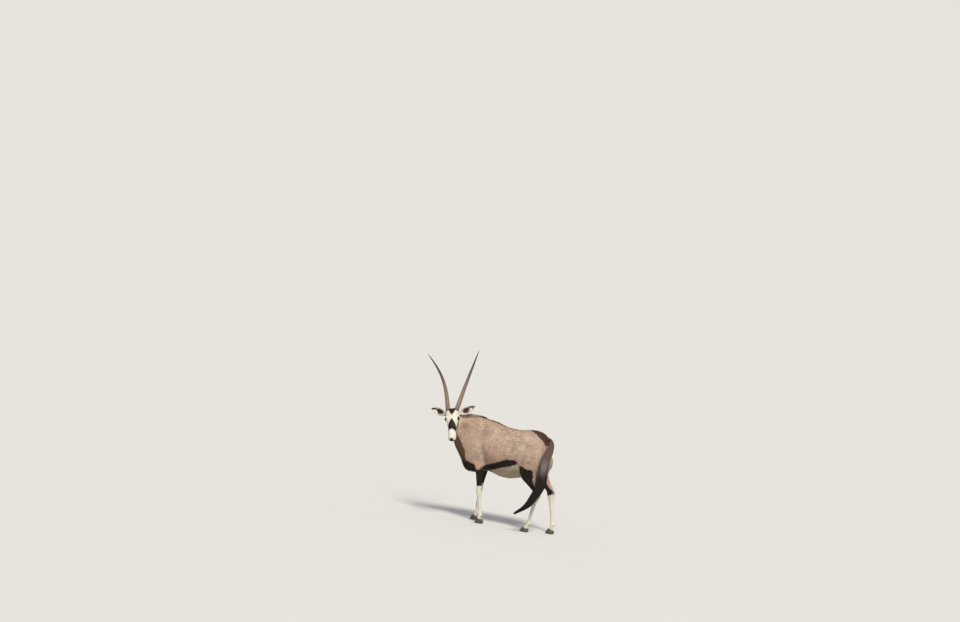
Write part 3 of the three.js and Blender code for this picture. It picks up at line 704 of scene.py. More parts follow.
@dataclass
class Markings:
    """Where the coat is dark, white or pale, and where shade and highlights are painted on it. Dark and white
    are distances inside their edges, in mm.
    """

    stance: Stance
    ears: Sequence[Ear]
    forehead: Corners = ((-110, 16), (-60, 34), (-7, 52), (22, 33), (72, 3))
    blaze: Corners = ((114, 3), (136, 16), (157, 32), (190, 43), (232, 56), (270, 56), (254, 32), (244, 10))
    eye_stripe: tuple[Place, ...] = (
        (34, 92, -98), (70, 84, -72), (104, 74, -50), (126, 72, -76), (152, 64, -98), (192, 53, -104),
        (238, 44, -88), (286, 34, -112))
    strap: tuple[Place, ...] = ((238, 48, -40), (242, 46, -70), (240, 42, -92))
    flank: Corners = (
        (0, 648), (30, 676), (173, 733), (264, 778), (343, 808), (399, 797), (455, 770), (455, 742),
        (420, 750), (295, 701), (243, 683), (148, 648), (20, 604), (0, 590))
    croup: Corners = (
        (455, -20), (455, 4), (515, 48), (560, 78), (635, 112), (704, 96), (800, 82), (800, -20))
    ear_streak: tuple[Place, ...] = ((84, 0, 0), (150, -14, 0), (186, -6, 0))

    def head(self, local: Array) -> dict[str, Array]:
        """The face's markings at places in the head's frame."""
        x, _, z = local.T
        mirrored = to_left(local)
        wide = mirrored[:, 1]

        def both_sides(corners: Corners) -> Array:
            return side_distance(x, wide, (*corners, (corners[-1][0], -40), (corners[0][0], -40)))

        fore = np.minimum(both_sides(self.forehead), z + 78)
        blaze = np.minimum(both_sides(self.blaze), z + 66)
        eye = np.interp(x, (34, 80, 106, 132, 160, 240), (14, 15, 21, 19, 17, 15))
        eye = eye - line_distance(mirrored, self.eye_stripe)
        rim = self.stance.eye_radius + 8.0 - self.stance.from_eye(local)
        strap = 12 - line_distance(mirrored, self.strap)
        dark = np.maximum.reduce([fore, blaze, eye, strap, rim])
        under = np.interp(x, [p[0] for p in self.eye_stripe], [p[2] for p in self.eye_stripe])
        arms = np.interp(x, (-10, 15, 60, 95, 130), (66, 86, 78, 84, 200)) - wide
        white = np.minimum.reduce([arms, z - under + 4, x + 8.0])
        white = np.maximum(white, np.minimum(x - 236, 40.0))
        pale = smooth(-40, 60, x) * smooth(20, -30, white) * 0.75
        tip = smooth(-16, -6, x - 375 + 0.35 * np.abs(z + 42)) * smooth(30, 22, wide) * smooth(-74, -64, z)
        return {"dark": dark, "white": white, "pale": pale, "bare": tip}

    def throat(self, plan: Array) -> Array:
        """The dark band down the throat. Towards the jaw it is drawn wider than the real stripe, which paints
        the shadow under the jaw.
        """
        middle, down, nearest = along_neck(plan)
        below = ((plan - middle[nearest]) * down[nearest]).sum(1)
        # the small widths at the head's end widen the band, painting the jaw's shadow there
        edge = np.interp(nearest / (NECK_STATIONS - 1), (0, 0.08, 0.17, 0.38, 0.46, 0.54, 0.62, 0.8, 1),
                         (208, 165, 122, 112, 84, 62, 50, 40, 30))
        return np.where((plan[:, 0] < -60) & (plan[:, 2] > 560), below - edge, FAR_OUT)

    def back(self, plan: Array) -> Array:
        """The dark line along the spine and its wider end over the croup."""
        x, y, z = plan.T
        croup = np.minimum(side_distance(x, np.abs(y), self.croup), z - 1010.0)
        spine = np.interp(x, (-60, -30, 140, 200, 512), (4, 25, 23, 11, 14))
        return np.maximum(croup, np.where((x > -80) & (z > 1000), spine - np.abs(y), FAR_OUT))

    def leg(self, leg: Leg, plan: Array) -> tuple[Array, Array]:
        """A leg's dark patches and its white lower part."""
        x, y, z = plan.T
        ahead = x - leg.middle(z)
        near = (np.abs(y - leg.beside(z)) < 80) & (z < 780)
        if leg.fore:
            patch = np.minimum(618 + 0.25 * ahead - z, z - (426 + 0.2 * ahead))
            reached = np.abs(ahead) < 110
            spot = 24 - np.hypot((z - 186) * 0.55, (ahead + 22) * 1.3)
        else:
            top = np.interp(ahead, (-85, -5, 76), (752, 720, 722))
            rear = np.interp(z, (470, 520, 590, 650, 760), (70, 22, 40, 72, 80)) - ahead
            front = np.interp(z, (470, 590, 655, 720, 760), (60, 68, 92, 95, 88)) + ahead
            corner = 0.7 * (top - z + rear) - 14
            patch = np.minimum.reduce([top - z, z - (440 + 0.4 * ahead), rear, front, corner])
            reached = (ahead > -150) & (ahead < 130)
            spot = 20 - np.hypot((z - 230) * 0.5, (ahead + 22) * 1.3)
        patch = np.where(near & reached, patch, FAR_OUT)
        spot = np.where(near & (z < 330) & (np.abs(ahead) < 60), spot, FAR_OUT)
        white = np.where(near & (np.abs(ahead) < 80), (430 if leg.fore else 452) - z, FAR_OUT)
        return np.maximum(patch, spot), white

    def pale(self, plan: Array) -> Array:
        """Where highlights are painted on the body's coat as paler patches, from 0 to 1: on the hip, the
        rump's top, the buttock by the tail, the elbow, the shoulder and the upper flank.
        """
        x, _, z = plan.T
        patches = ((0.75, 470, 60, 935, 55), (0.7, 520, 90, 1070, 40), (0.4, 655, 60, 930, 110),
                   (0.95, -2, 20, 762, 42), (0.35, -70, 60, 900, 130), (0.3, 220, 120, 1010, 60))
        return sum(share * bump(x, x0, wide) * bump(z, z0, high) for share, x0, wide, z0, high in patches)

    def shade(self, plan: Array, flank: Array) -> Array:
        """Where shade is painted on the body's coat, from 0 to 1: painted shade in the fold behind the elbow
        and on the coat behind it, on the lower flank above the dark band, in the fold in front of the hip and
        on the thigh, and the painted shadow of the ear on the neck.
        """
        x, _, z = plan.T
        fold = np.interp(z, (680, 723, 800, 899), (46, 36, 22, -8))
        # painted shadow of the ear on the neck's side, round this point
        from_ear_shadow = np.linalg.norm(plan - [-262, -150, 1080], axis=1)
        return np.maximum.reduce([
            0.7 * bump(x, fold + 6, 17) * smooth(930, 860, z) * smooth(650, 700, z),
            0.36 * smooth(fold, fold + 8, x) * smooth(fold + 190, fold, x) * smooth(930, 790, z),
            0.3 * smooth(-110, -20, flank) * (x > 40) * (x < 460),
            0.25 * bump(x, 372 + (z - 859) * -0.13, 10) * bump(z, 930, 90),
            0.3 * bump(x, 500, 70) * bump(z, 770, 60),
            0.6 * bump(from_ear_shadow, 0, 40)]) * (z > 560)

    def mark_ear(self, ear: Ear, plan: Array, marks: dict[str, Array]) -> None:
        """Adds an ear's markings to all others: a dark edge, and a spot and a streak on its white inside."""
        t, u, v = ear.locate(plan)
        half = ear.half_width(np.clip(t, 0, 1))
        on_ear = ear.holds((t, u, v), reach=half + 14)
        floor = -half * ear.cup * np.sqrt(np.clip(1 - (u / (half + 1)) ** 2, 0, 1))
        inner = on_ear & (v > floor + 4)
        spot = 30 - np.hypot((t - 0.47) * 165, u * 0.85)
        streak = 8 - line_distance(np.stack([t * 200, u, v * 0], 1), self.ear_streak)
        edge = np.where(t > 0.84, (t - 0.84) * 200, FAR_OUT)
        dark = np.maximum(np.where(inner, np.maximum(spot, streak), np.maximum(edge, -30.0)), edge)
        upper = on_ear & (t > 0.16)
        for name, where, value in (("shade", ear.holds((t, u, v)), 0.0), ("dark", upper, dark),
                                   ("white", upper, np.where(inner, 12.0, -25.0)),
                                   ("brown", inner, 0.2), ("pale", on_ear, 0.4)):
            marks[name] = np.where(where, value, marks[name])

    def layout(self, plan: Array) -> dict[str, Array]:
        """All markings at places in the plan, painted shade and highlights among them.

        Args:
            plan: places on the skin, in millimetres.

        Returns:
            One array for each marking's name.
        """
        x, _, z = plan.T
        local = self.stance.plan_to_head(plan)
        on_head = self.stance.in_head(local)
        face = self.head(local)
        flank = side_distance(x, z, self.flank)
        dark = [self.throat(plan), flank, self.back(plan)]
        white = [np.full(len(plan), FAR_OUT)]
        for leg in LEGS:
            leg_dark, leg_white = self.leg(leg, plan)
            dark.append(leg_dark)
            white.append(leg_white)
        brown = np.maximum(smooth(640, 780, z) * smooth(-60, -120, x), 0.6 * (z > 1000) * (x > -80))
        under = np.interp(x, (20, 148, 243, 295, 424), (600, 648, 683, 701, 753))
        share = self.stance.head_share(local)
        marks = {
            "dark": np.where(on_head, face["dark"], np.maximum.reduce(dark)),
            "white": np.where(on_head, face["white"], np.maximum.reduce(white)),
            "brown": np.where(on_head, 0.0, brown),
            # painted shade on the body; none on the head
            "shade": np.where(on_head, 0.0, self.shade(plan, flank)),
            # real pale face, and painted highlights on the body, blended where the head meets the neck
            "pale": self.pale(plan) * (1 - share) + face["pale"] * share,
            # the underside below the dark band, which takes the belly's shaded tone
            "belly": smooth(6, -10, z - under) * smooth(-60, 40, x) * smooth(560, 430, x) * (z > 500),
            "bare": np.where(on_head, face["bare"], 0.0)}
        for ear in self.ears:
            self.mark_ear(ear, plan, marks)
        for name, values in marks.items():
            low, high = (FAR_OUT, -FAR_OUT) if name in ("dark", "white") else (0, 1)
            marks[name] = np.clip(values, low, high)
        return marks


# Skin

def tube(line: Array, depth: Array, width: Array, side: Array, sides: int = 24) -> Array:
    """Rings of an oval tube along a line.

    Args:
        line: its middle points.
        depth: half its size across side at each point.
        width: half its size along side.
        side: the direction of its width.
        sides: the points of a ring.

    Returns:
        The rings.
    """
    along = unit(np.gradient(line, axis=0))
    wide = unit(side - along * (along @ side)[:, None])
    deep = np.cross(along, wide)
    turn = np.linspace(0, 2 * math.pi, sides, endpoint=False)
    return (line[:, None] + wide[:, None] * (width[:, None] * np.cos(turn))[..., None]
            + deep[:, None] * (depth[:, None] * np.sin(turn))[..., None])


def relax(mesh: bpy.types.Mesh, points: Array, weight: Array, rounds: int) -> Array:
    """Draws each point towards the middle of its neighbours, as far as its weight says, some rounds.

    Args:
        mesh: the mesh that joins the points.
        points: the points.
        weight: how far each goes in one round, from 0 to 1.
        rounds: how many rounds.

    Returns:
        The points' new places.
    """
    edges = np.empty(len(mesh.edges) * 2, np.int32)
    mesh.edges.foreach_get("vertices", edges)
    starts, ends = edges[0::2], edges[1::2]
    moving = weight > 0
    used = moving[starts] | moving[ends]
    starts, ends = starts[used], ends[used]
    into, out = np.concatenate([starts, ends]), np.concatenate([ends, starts])
    count = np.maximum(np.bincount(into, minlength=len(points)), 1)
    points = points.copy()
    share = weight[:, None]
    for _ in range(rounds):
        sums = np.stack([np.bincount(into, points[out, axis], len(points)) for axis in range(3)], 1)
        points += share * (sums / count[:, None] - points) * moving[:, None]
    return points


@dataclass
class Skin:
    """The animal's one skin over trunk, neck, head, ears, legs and the tail's root."""

    stance: Stance
    ears: Sequence[Ear]
    markings: Markings
    voxel: float = 0.0036
    swell: float = 0.0012
    smoothing: int = 130
    triangles: int = 190000
    eye_opening: tuple[float, float] = (17.0, 11.0)
    lid: float = 2.6
    piece: bpy.types.Object = field(init=False)

    def gather(self) -> bpy.types.Object:
        """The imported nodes' own shapes, grown until they touch, with finer ears and the tail's root."""
        work = bmesh.new()
        for node in FLESH:
            if not node.startswith("ear"):
                work.from_mesh(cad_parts[node].data)
        bmesh.ops.remove_doubles(work, verts=work.verts, dist=1e-6)
        work.normal_update()
        for vertex in work.verts:
            vertex.co += vertex.normal * self.swell
        mesh = bpy.data.meshes.new("flesh")
        work.to_mesh(mesh)
        work.free()
        piece = put("flesh", mesh)
        rows = spline(TAIL[:5], 24)
        taper = np.interp(np.arange(24), (0, 8, 16, 23), (1.0, 0.85, 0.5, 0.25))
        dock = loft(tube(rows[:, :3], rows[:, 3] * taper, rows[:, 4] * taper * 0.8, TAIL_SIDE))
        for points, faces in [ear.shell() for ear in self.ears] + [dock]:
            self.absorb(piece, outward(new_mesh("part", self.stance.to_frame(points), faces)))
        return piece

    def absorb(self, piece: bpy.types.Object, part: bpy.types.Object) -> None:
        """Adds a part's mesh to a piece's and removes the part."""
        work = bmesh.new()
        work.from_mesh(piece.data)
        work.from_mesh(part.data)
        work.to_mesh(piece.data)
        work.free()
        mesh = part.data
        bpy.data.objects.remove(part)
        bpy.data.meshes.remove(mesh)

    def remesh(self, piece: bpy.types.Object, voxel: float) -> None:
        """Makes one closed surface of all that the piece holds."""
        change = piece.modifiers.new("whole", "REMESH")
        change.mode = "VOXEL"
        change.voxel_size = voxel
        bake_modifiers(piece)

    def flatten_mane(self, piece: bpy.types.Object) -> None:
        """Smooths away the mane's locks, which leaves the crest that they stood on."""
        plan = self.stance.to_plan(points_of(piece.data))
        crest, _, aside, rise = along_crest(40)
        nearest = np.argmin(((plan[:, None] - crest[None]) ** 2).sum(2), axis=1)
        offset = plan - crest[nearest]
        across = (offset * aside[nearest]).sum(1)
        above = (offset * rise[nearest]).sum(1)
        share = nearest / (len(crest) - 1)
        half = 38
        strip = (np.abs(across) < half) & (above > 26) & (share > 0.02) & (share < 0.93)
        points = relax(piece.data, points_of(piece.data), strip.astype(float), 500)
        crown = 9 * MM * np.clip(1 - (across / half) ** 2, 0, 1)
        crown = crown * smooth(0.02, 0.12, share) * smooth(0.93, 0.84, share)
        set_points(piece.data, points + rise[nearest] * (crown * strip)[:, None])

    def weights(self, plan: Array) -> Array:
        """How strongly each place is smoothed."""
        x, y, z = plan.T
        local = self.stance.plan_to_head(plan)
        headness = self.stance.in_head(local).astype(float) * smooth(-20, 30, local[:, 0])
        low = smooth(700, 580, z)
        weight = 0.62 * (1 - low) + 0.07 * low
        weight = weight * (1 - headness) + 0.06 * headness
        for ear in self.ears:
            weight = np.where(ear.holds(ear.locate(plan), 0.12), 0.03, weight)
        tail = (x > 755) & (z < 1070) & (z > 800) & (y < -25)
        return np.where(tail, 0.03, weight)

    def refine(self, piece: bpy.types.Object) -> None:
        """Splits the faces round the eyes, the nose and the mouth."""
        for reach in (1.0, 0.62):
            work = bmesh.new()
            work.from_mesh(piece.data)
            work.verts.ensure_lookup_table()
            local = self.stance.plan_to_head(self.stance.to_plan(np.array([v.co for v in work.verts])))
            x, y, z = local.T
            near = self.stance.from_eye(local) < 46 * reach
            near |= (x > 375 - 95 * reach) & (np.abs(y) < 70) & (np.abs(z + 60) < 70)
            edges = [e for e in work.edges if near[e.verts[0].index] and near[e.verts[1].index]]
            bmesh.ops.subdivide_edges(work, edges=edges, cuts=1, use_grid_fill=True)
            bmesh.ops.triangulate(work, faces=[f for f in work.faces if len(f.verts) > 4])
            work.to_mesh(piece.data)
            work.free()

    def sculpt(self, piece: bpy.types.Object) -> None:
        """Shapes lids, nostrils, lips and the muscles under the coat."""
        mesh = piece.data
        plan = self.stance.to_plan(points_of(mesh))
        local = self.stance.plan_to_head(plan)
        on_head = self.stance.in_head(local)
        for side in (-1, 1):
            self.set_lids(local, on_head, side)
            self.set_nostril(local, on_head, side)
        self.set_mouth(local, on_head)
        plan[on_head] = self.stance.head_to_plan(local[on_head])
        set_points(mesh, self.stance.to_frame(plan))
        plan += normals_of(mesh) * self.muscles(plan)[:, None]
        set_points(mesh, self.stance.to_frame(plan))

    def set_lids(self, local: Array, chosen: Array, side: int) -> None:
        """Wraps lids over one eye and leaves the almond open."""
        basis = np.diag([1, side, 1]) @ EYE_TURN
        eye = np.array(self.stance.eye) * [1, side, 1]
        offset = (local - eye) @ basis
        along, out, up = offset.T
        lateral = np.hypot(along, up)
        near = chosen & (out > -4) & (lateral < 34)
        a, b = self.eye_opening
        lift = 1 - 0.35 * (along / a) ** 2
        almond = np.sqrt((along / a) ** 2 + (up / (b * np.clip(lift, 0.4, 1))) ** 2)
        radius = self.stance.eye_radius
        lids = radius + self.lid + 1.2 * bump(almond, 1.25, 0.18)
        target = np.where(almond < 1, radius - 4.5, lids)
        target += (lids - target) * smooth(0.9, 1.04, almond)
        reach = np.sqrt(np.maximum(target**2 - lateral**2, 0))
        share = smooth(27, 17, lateral)
        share = np.where(almond < 1.1, 1.0, share)
        new_out = out + (reach - out) * share
        moved = eye + np.stack([along, new_out, up], 1) @ basis.T
        local[near] = moved[near]

    def set_nostril(self, local: Array, chosen: Array, side: int) -> None:
        """Presses in one nostril as a comma that opens to the side."""
        outer = side * local[:, 1]
        offset = local - [359.0, side * 25.0, -36.0]
        shape = np.hypot(offset[:, 0] / 15, (offset[:, 2] + 0.25 * offset[:, 0]) / 8)
        depth = 11 * smooth(1.15, 0.35, shape) * (outer > 4)
        rim = 2.0 * bump(shape, 1.3, 0.3) * (outer > 6)
        inward = unit(np.array([-0.5, -side * 0.8, -0.1]))
        move = depth[:, None] * inward - rim[:, None] * inward
        local[chosen] += move[chosen]

    def set_mouth(self, local: Array, chosen: Array) -> None:
        """Draws the line between the lips."""
        x, y, z = local.T
        line = -72 + (x - 327) * 0.16
        groove = 4.2 * bump(z, line, 2.6) * smooth(262, 285, x)
        lips = 1.8 * (bump(z, line + 8, 6) + bump(z, line - 8, 6)) * smooth(275, 300, x)
        outward_way = unit(np.stack([smooth(340, 375, x) * 1.2, y / 30, np.zeros(len(x))], 1))
        local[chosen] += (outward_way * (lips - groove)[:, None])[chosen]

    def muscles(self, plan: Array) -> Array:
        """How far the surface stands out or falls in over bones and muscles, in millimetres."""
        x, y, z = plan.T
        flank = np.abs(y) > 40
        rise = np.zeros(len(x))
        folds = (
            ((10, 900), (30, 700), 26, -7.0), ((-60, 1010), (-10, 760), 34, 4.0),
            ((40, 860), (20, 730), 20, 2.0), ((440, 860), (425, 740), 26, -6.0),
            ((520, 1010), (610, 930), 50, 3.5), ((430, 930), (470, 1050), 34, -3.0),
            ((600, 880), (560, 760), 46, 3.0), ((640, 900), (655, 720), 16, -3.0),
            ((-120, 900), (-40, 1030), 30, 2.5), ((330, 700), (410, 760), 20, -3.0))
        for (x0, z0), (x1, z1), reach, height in folds:
            step = np.array([x1 - x0, z1 - z0], float)
            share = np.clip(((x - x0) * step[0] + (z - z0) * step[1]) / step.dot(step), 0, 1)
            away = np.hypot(x - x0 - share * step[0], z - z0 - share * step[1])
            rise += height * np.exp(-(away / reach) ** 2) * flank
        for rib in range(7):
            middle = 90 + rib * 38 + (z - 850) * 0.16
            rise += 0.8 * bump(x, middle, 11) * bump(z, 830, 120) * flank
        for leg in LEGS:
            ahead = x - leg.middle(z)
            beside = np.abs(y - leg.beside(z))
            near = (beside < 60) & (z < 640) & (np.abs(ahead) < 70)
            sinew = -1.8 * bump(ahead, 9, 5) * smooth(340, 300, z) * smooth(110, 150, z) * (beside > 8)
            if not leg.fore:
                sinew += -5 * bump(ahead, 24, 14) * bump(z, 560, 70) * (beside > 6)
            rise += sinew * near
        local = self.stance.plan_to_head(plan)
        from_horn = np.linalg.norm((to_left(local) - [-6, 50, -30]) * [0.7, 1, 1], axis=1)
        return rise + 10 * bump(from_horn, 32, 12) * self.stance.in_head(local)

    def sink(self, plan: Array) -> Array:
        """The depth of the coat at each place, in millimetres."""
        local = self.stance.plan_to_head(plan)
        x, y, z = local.T
        head = self.stance.in_head(local) | (x > 60) & (np.abs(y) < 80) & (z > -200)
        depth = 3.0 - 1.6 * smooth(700, 600, plan[:, 2])
        return np.where(head, 1.4, depth) + self.swell / MM

    def thin(self, piece: bpy.types.Object) -> None:
        """Brings the skin under its number of triangles, least on the head."""
        plan = self.stance.to_plan(points_of(piece.data))
        local = self.stance.plan_to_head(plan)
        fine = self.stance.in_head(local) | (plan[:, 2] < 130)
        group = piece.vertex_groups.new(name="coarse")
        group.add(np.nonzero(~fine)[0].tolist(), 1.0, "REPLACE")
        present = sum(len(p.vertices) - 2 for p in piece.data.polygons)
        change = piece.modifiers.new("thin", "DECIMATE")
        change.ratio = min(1.0, self.triangles / present)
        change.vertex_group = group.name
        change.vertex_group_factor = 1.0
        bake_modifiers(piece)
        piece.vertex_groups.clear()

    def build(self) -> None:
        """Builds the skin and stores its markings and the lie of its hair."""
        piece = self.gather()
        self.remesh(piece, self.voxel)
        self.flatten_mane(piece)
        self.remesh(piece, self.voxel)
        mesh = piece.data
        points = points_of(mesh)
        plan = self.stance.to_plan(points)
        points = relax(mesh, points, self.weights(plan), self.smoothing)
        set_points(mesh, points)
        depth = self.sink(self.stance.to_plan(points))
        set_points(mesh, points - normals_of(mesh) * (depth * MM)[:, None])
        self.refine(piece)
        self.sculpt(piece)
        self.thin(piece)
        piece.name = piece.data.name = "skin"
        piece.data.shade_smooth()
        self.piece = piece
        self.mark(piece.data)
        self.unwrap()

    def mark(self, mesh: bpy.types.Mesh) -> None:
        """Stores the markings, the lie of the hair and the stretched places of its streaks."""
        plan = self.stance.to_plan(points_of(mesh))
        for name, values in self.markings.layout(plan).items():
            set_attribute(mesh, name, values)
        lie = self.lie(plan, normals_of(mesh))
        set_attribute(mesh, "lie", lie)
        low = smooth(640, 540, plan[:, 2])[:, None]
        strand = plan * ((1 - low) * [0.05, 0.2, 0.2] + low * [0.22, 0.22, 0.05])
        set_attribute(mesh, "strand", strand)

    def lie(self, plan: Array, normals: Array) -> Array:
        """The direction in which the hair lies at each place."""
        x, _, z = plan.T
        flow = np.tile([0.9, 0.0, -0.38], (len(x), 1))
        low = smooth(700, 600, z)[:, None]
        flow = flow * (1 - low) + np.array([0.12, 0.0, -1.0]) * low
        middle, _, nearest = along_neck(plan)
        necklie = -unit(np.gradient(middle, axis=0))[nearest] + [0, 0, -0.3]
        necked = smooth(-60, -190, x)[:, None]
        flow = flow * (1 - necked) + unit(necklie) * necked
        local = self.stance.plan_to_head(plan)
        head = self.stance.head_share(local)[:, None]
        headlie = np.array([-1.0, 0.0, -0.25]) @ self.stance.turn.T
        flow = flow * (1 - head) + headlie * head
        for ear in self.ears:
            along = (ear.basis()[0] * [1, ear.side, 1]) @ self.stance.turn.T
            flow = np.where(ear.holds(ear.locate(plan))[:, None], along, flow)
        flow = flow - normals * (flow * normals).sum(1, keepdims=True)
        return unit(flow)

    def unwrap(self) -> None:
        """Lays the skin out flat in the map that its hair takes its places from."""
        mesh = self.piece.data
        mesh.uv_layers.new(name="OFBake")
        bpy.ops.object.select_all(action="DESELECT")
        self.piece.select_set(True)
        bpy.context.view_layer.objects.active = self.piece
        bpy.ops.object.mode_set(mode="EDIT")
        bpy.ops.mesh.select_all(action="SELECT")
        bpy.ops.uv.smart_project(angle_limit=math.radians(72), island_margin=0.002)
        bpy.ops.object.mode_set(mode="OBJECT")

    def dress(self, coat: bpy.types.Material) -> None:
        """Gives the skin its coat's material and hands it over."""
        self.piece.data.materials.clear()
        self.piece.data.materials.append(coat)
        finish_piece(self.piece, FLESH)


# Horns, hooves and eyes

class Shell:
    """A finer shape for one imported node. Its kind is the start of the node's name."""

    kind: str
    where: str
    piece: bpy.types.Object

    def dress(self, material: bpy.types.Material) -> None:
        """Gives the shell its material and hands it over."""
        self.piece.data.materials.append(material)
        finish_piece(self.piece, [f"{self.kind}_{self.where}"])


@dataclass
class Horn(Shell):
    """A long, almost straight horn, ringed over its lower half and smooth above."""

    stance: Stance
    side: int
    sag: float
    rise: float
    root: Place = (-2.0, 50.0, -30.0)
    axis: Place = (-0.945, 0.272, -0.18)
    foot_axis: Place = (0.28, -0.3, -0.92)
    foot: float = 0.055
    length: float = 886.0
    base: float = 27.0
    ridges: int = 15
    ridged: float = 0.54
    first_ridge: float = 0.06
    ridge_height: float = 2.6
    sides: int = 40
    kind: str = "horn"

    def build(self) -> None:
        """Builds the horn with its grain and wear."""
        axis = unit(np.array(self.axis))
        out = np.array([0.28, 0.96, 0.0])
        wide = unit(np.array([0, 1, 0]) - axis * axis[1])
        deep = np.cross(axis, wide)
        lower = np.linspace(-self.foot, self.ridged, self.ridges * 10)
        t = np.concatenate([lower, np.linspace(self.ridged, 0.997, 46)[1:]])
        turn = np.linspace(0, 2 * math.pi, self.sides, endpoint=False)
        pitch = (self.ridged - self.first_ridge) / self.ridges
        cycle = np.clip((t - self.first_ridge) / pitch, 0, self.ridges)
        height = self.ridge_height * (1 - cycle / (self.ridges + 4)) * smooth(0.03, 0.1, t)
        height = height * smooth(self.ridged, self.ridged - 0.08, t)
        wobble = 0.07 * np.sin(turn * 2 + 0.7)[None] * np.sin(cycle * 1.7)[:, None]
        phase = (cycle[:, None] + wobble + 0.06 * np.cos(turn)[None]) % 1.0
        ring = smooth(0.0, 0.55, phase) * smooth(1.0, 0.62, phase)
        notch = 0.75 + 0.25 * np.cos(turn)[None] ** 2
        above = np.maximum(t, 0)
        radius = self.base * (1 - above) ** 0.6 * (1.04 - 0.04 * above) * (1 - 5 * (above - t))
        radius = radius[:, None] + height[:, None] * ring * notch
        radius += 0.25 * np.sin(turn * 9)[None] * smooth(0.9, 0.2, t)[:, None]
        bend = self.rise * above**3 - self.sag * np.sin(math.pi * above)
        centre = np.array(self.root) + np.outer(above * self.length, axis) + np.outer(bend, out)
        centre += np.outer((above - t) * self.length, self.foot_axis)
        rings = (centre[:, None] + (radius * 0.92 * np.cos(turn))[..., None] * wide
                 + (radius * np.sin(turn))[..., None] * deep) * [1, self.side, 1]
        points, faces = loft(rings)
        points = self.stance.to_frame(self.stance.head_to_plan(points))
        self.where = side_name(self.side)
        piece = new_mesh(f"horn_{self.where}_shell", points, faces)
        count = len(t)
        along = np.append(np.repeat(t, self.sides), [0, 1])
        worn = np.append((ring * height[:, None] / self.ridge_height).ravel(), [0, 0])
        grain = np.stack([np.tile(np.cos(turn), count) * 4, np.tile(np.sin(turn), count) * 4,
                          np.repeat(t, self.sides) * 14], 1)
        set_attribute(piece.data, "tip", smooth(0.1, 0.9, along))
        set_attribute(piece.data, "worn", 0.55 * worn)
        set_attribute(piece.data, "strand", np.vstack([grain, [0, 0, 0], [0, 0, 14]]))
        self.piece = outward(piece)


@dataclass
class Hoof(Shell):
    """Two claws with fine growth rings and the pad that binds them behind."""

    stance: Stance
    leg: Leg
    length: float = 95.0
    width: float = 40.0
    coronet: float = 46.0
    slope: float = 16.0
    aside: float = 104.0
    sides: int = 36
    rows: int = 22
    kind: str = "hoof"

    def claw(self, side: int) -> tuple[Array, Faces]:
        """One claw in the plan: its points and faces."""
        toe, heel = self.length * 0.62, self.length * 0.38
        levels = (0, 12, 80)
        turn = np.linspace(0, 2 * math.pi, self.sides, endpoint=False)
        reach = np.cos(turn)
        narrowing = 1 - 0.42 * np.maximum(0, -reach) ** 2
        height = np.zeros((self.rows, self.sides))
        share = np.linspace(0, 1, self.rows)[:, None]
        x = np.zeros_like(height)
        for _ in range(3):
            top = self.coronet + 5 - np.tan(math.radians(self.slope)) * x
            height = share**1.2 * top
            front = np.interp(height, levels, (toe, toe - 6, toe - 38))
            back = np.interp(height, levels, (heel, heel + 1, heel - 4))
            x = np.where(reach < 0, reach * front, reach * back)
        wide = np.interp(height, levels, (self.width, self.width, self.width * 0.78))
        sway = np.interp(height, levels, (0, 0, -3))
        edge = 1 - 0.05 * smooth(3, 0, height) - 0.1 * smooth(0.9, 1.0, share)
        ripple = 1 + 0.008 * np.sin(height * 1.15 + 0.5 * np.sin(turn)) * smooth(4, 14, height)
        x = x * edge * ripple
        y = side * (wide * 0.52 + sway) + wide * 0.5 * np.sin(turn) * narrowing * edge * ripple
        rings = np.stack([self.leg.foot + x, self.leg.side * self.aside + y, height], 2)
        return loft(rings)

    def build(self) -> None:
        """Builds the hoof."""
        up = np.linspace(-math.pi / 2, math.pi / 2, 14)[1:-1]
        turn = np.linspace(0, 2 * math.pi, 24, endpoint=False)
        pad = np.stack([np.outer(np.cos(up), np.cos(turn)) * 23 + self.leg.foot + 13,
                        np.outer(np.cos(up), np.sin(turn)) * 21 + self.leg.side * self.aside,
                        np.outer(np.sin(up), np.ones(24)) * 21 + 24], 2)
        points, faces = joined(joined(self.claw(-1), self.claw(1)), loft(pad))
        self.where = self.leg.name
        piece = new_mesh(f"hoof_{self.where}_shell", self.stance.to_frame(points), faces)
        set_attribute(piece.data, "tip", smooth(60, 0, points[:, 2]))
        set_attribute(piece.data, "worn", smooth(8, 0, points[:, 2]) * 0.6)
        set_attribute(piece.data, "strand", points * [0.5, 0.5, 0.06])
        self.piece = outward(piece)


@dataclass
class Eye(Shell):
    """A ball with a slight bulge over its iris, turned to look out from between the lids."""

    stance: Stance
    side: int
    bulge: float = 0.6
    play: float = 0.6
    kind: str = "eye"

    def build(self) -> None:
        """Builds the eye and stores where its iris lies."""
        up = np.linspace(-math.pi / 2, math.pi / 2, 40)[1:-1]
        turn = np.linspace(0, 2 * math.pi, 48, endpoint=False)
        ball = np.stack([np.outer(np.cos(up), np.cos(turn)), np.outer(np.sin(up), np.ones(48)),
                         np.outer(np.cos(up), np.sin(turn))], 2)
        points, faces = loft(ball)
        away = np.arccos(np.clip(unit(points)[:, 1], -1, 1))
        radius = self.stance.eye_radius - self.play + self.bulge * smooth(0.75, 0.3, away)
        face = unit(points)
        local = (face * radius[:, None]) @ EYE_TURN.T + np.array(self.stance.eye)
        plan = self.stance.head_to_plan(local * [1, self.side, 1])
        self.where = side_name(self.side)
        piece = new_mesh(f"eye_{self.where}_ball", self.stance.to_frame(plan), faces)
        set_attribute(piece.data, "iris", np.stack([face[:, 0], face[:, 2], away], 1))
        self.piece = outward(piece)


# Hair

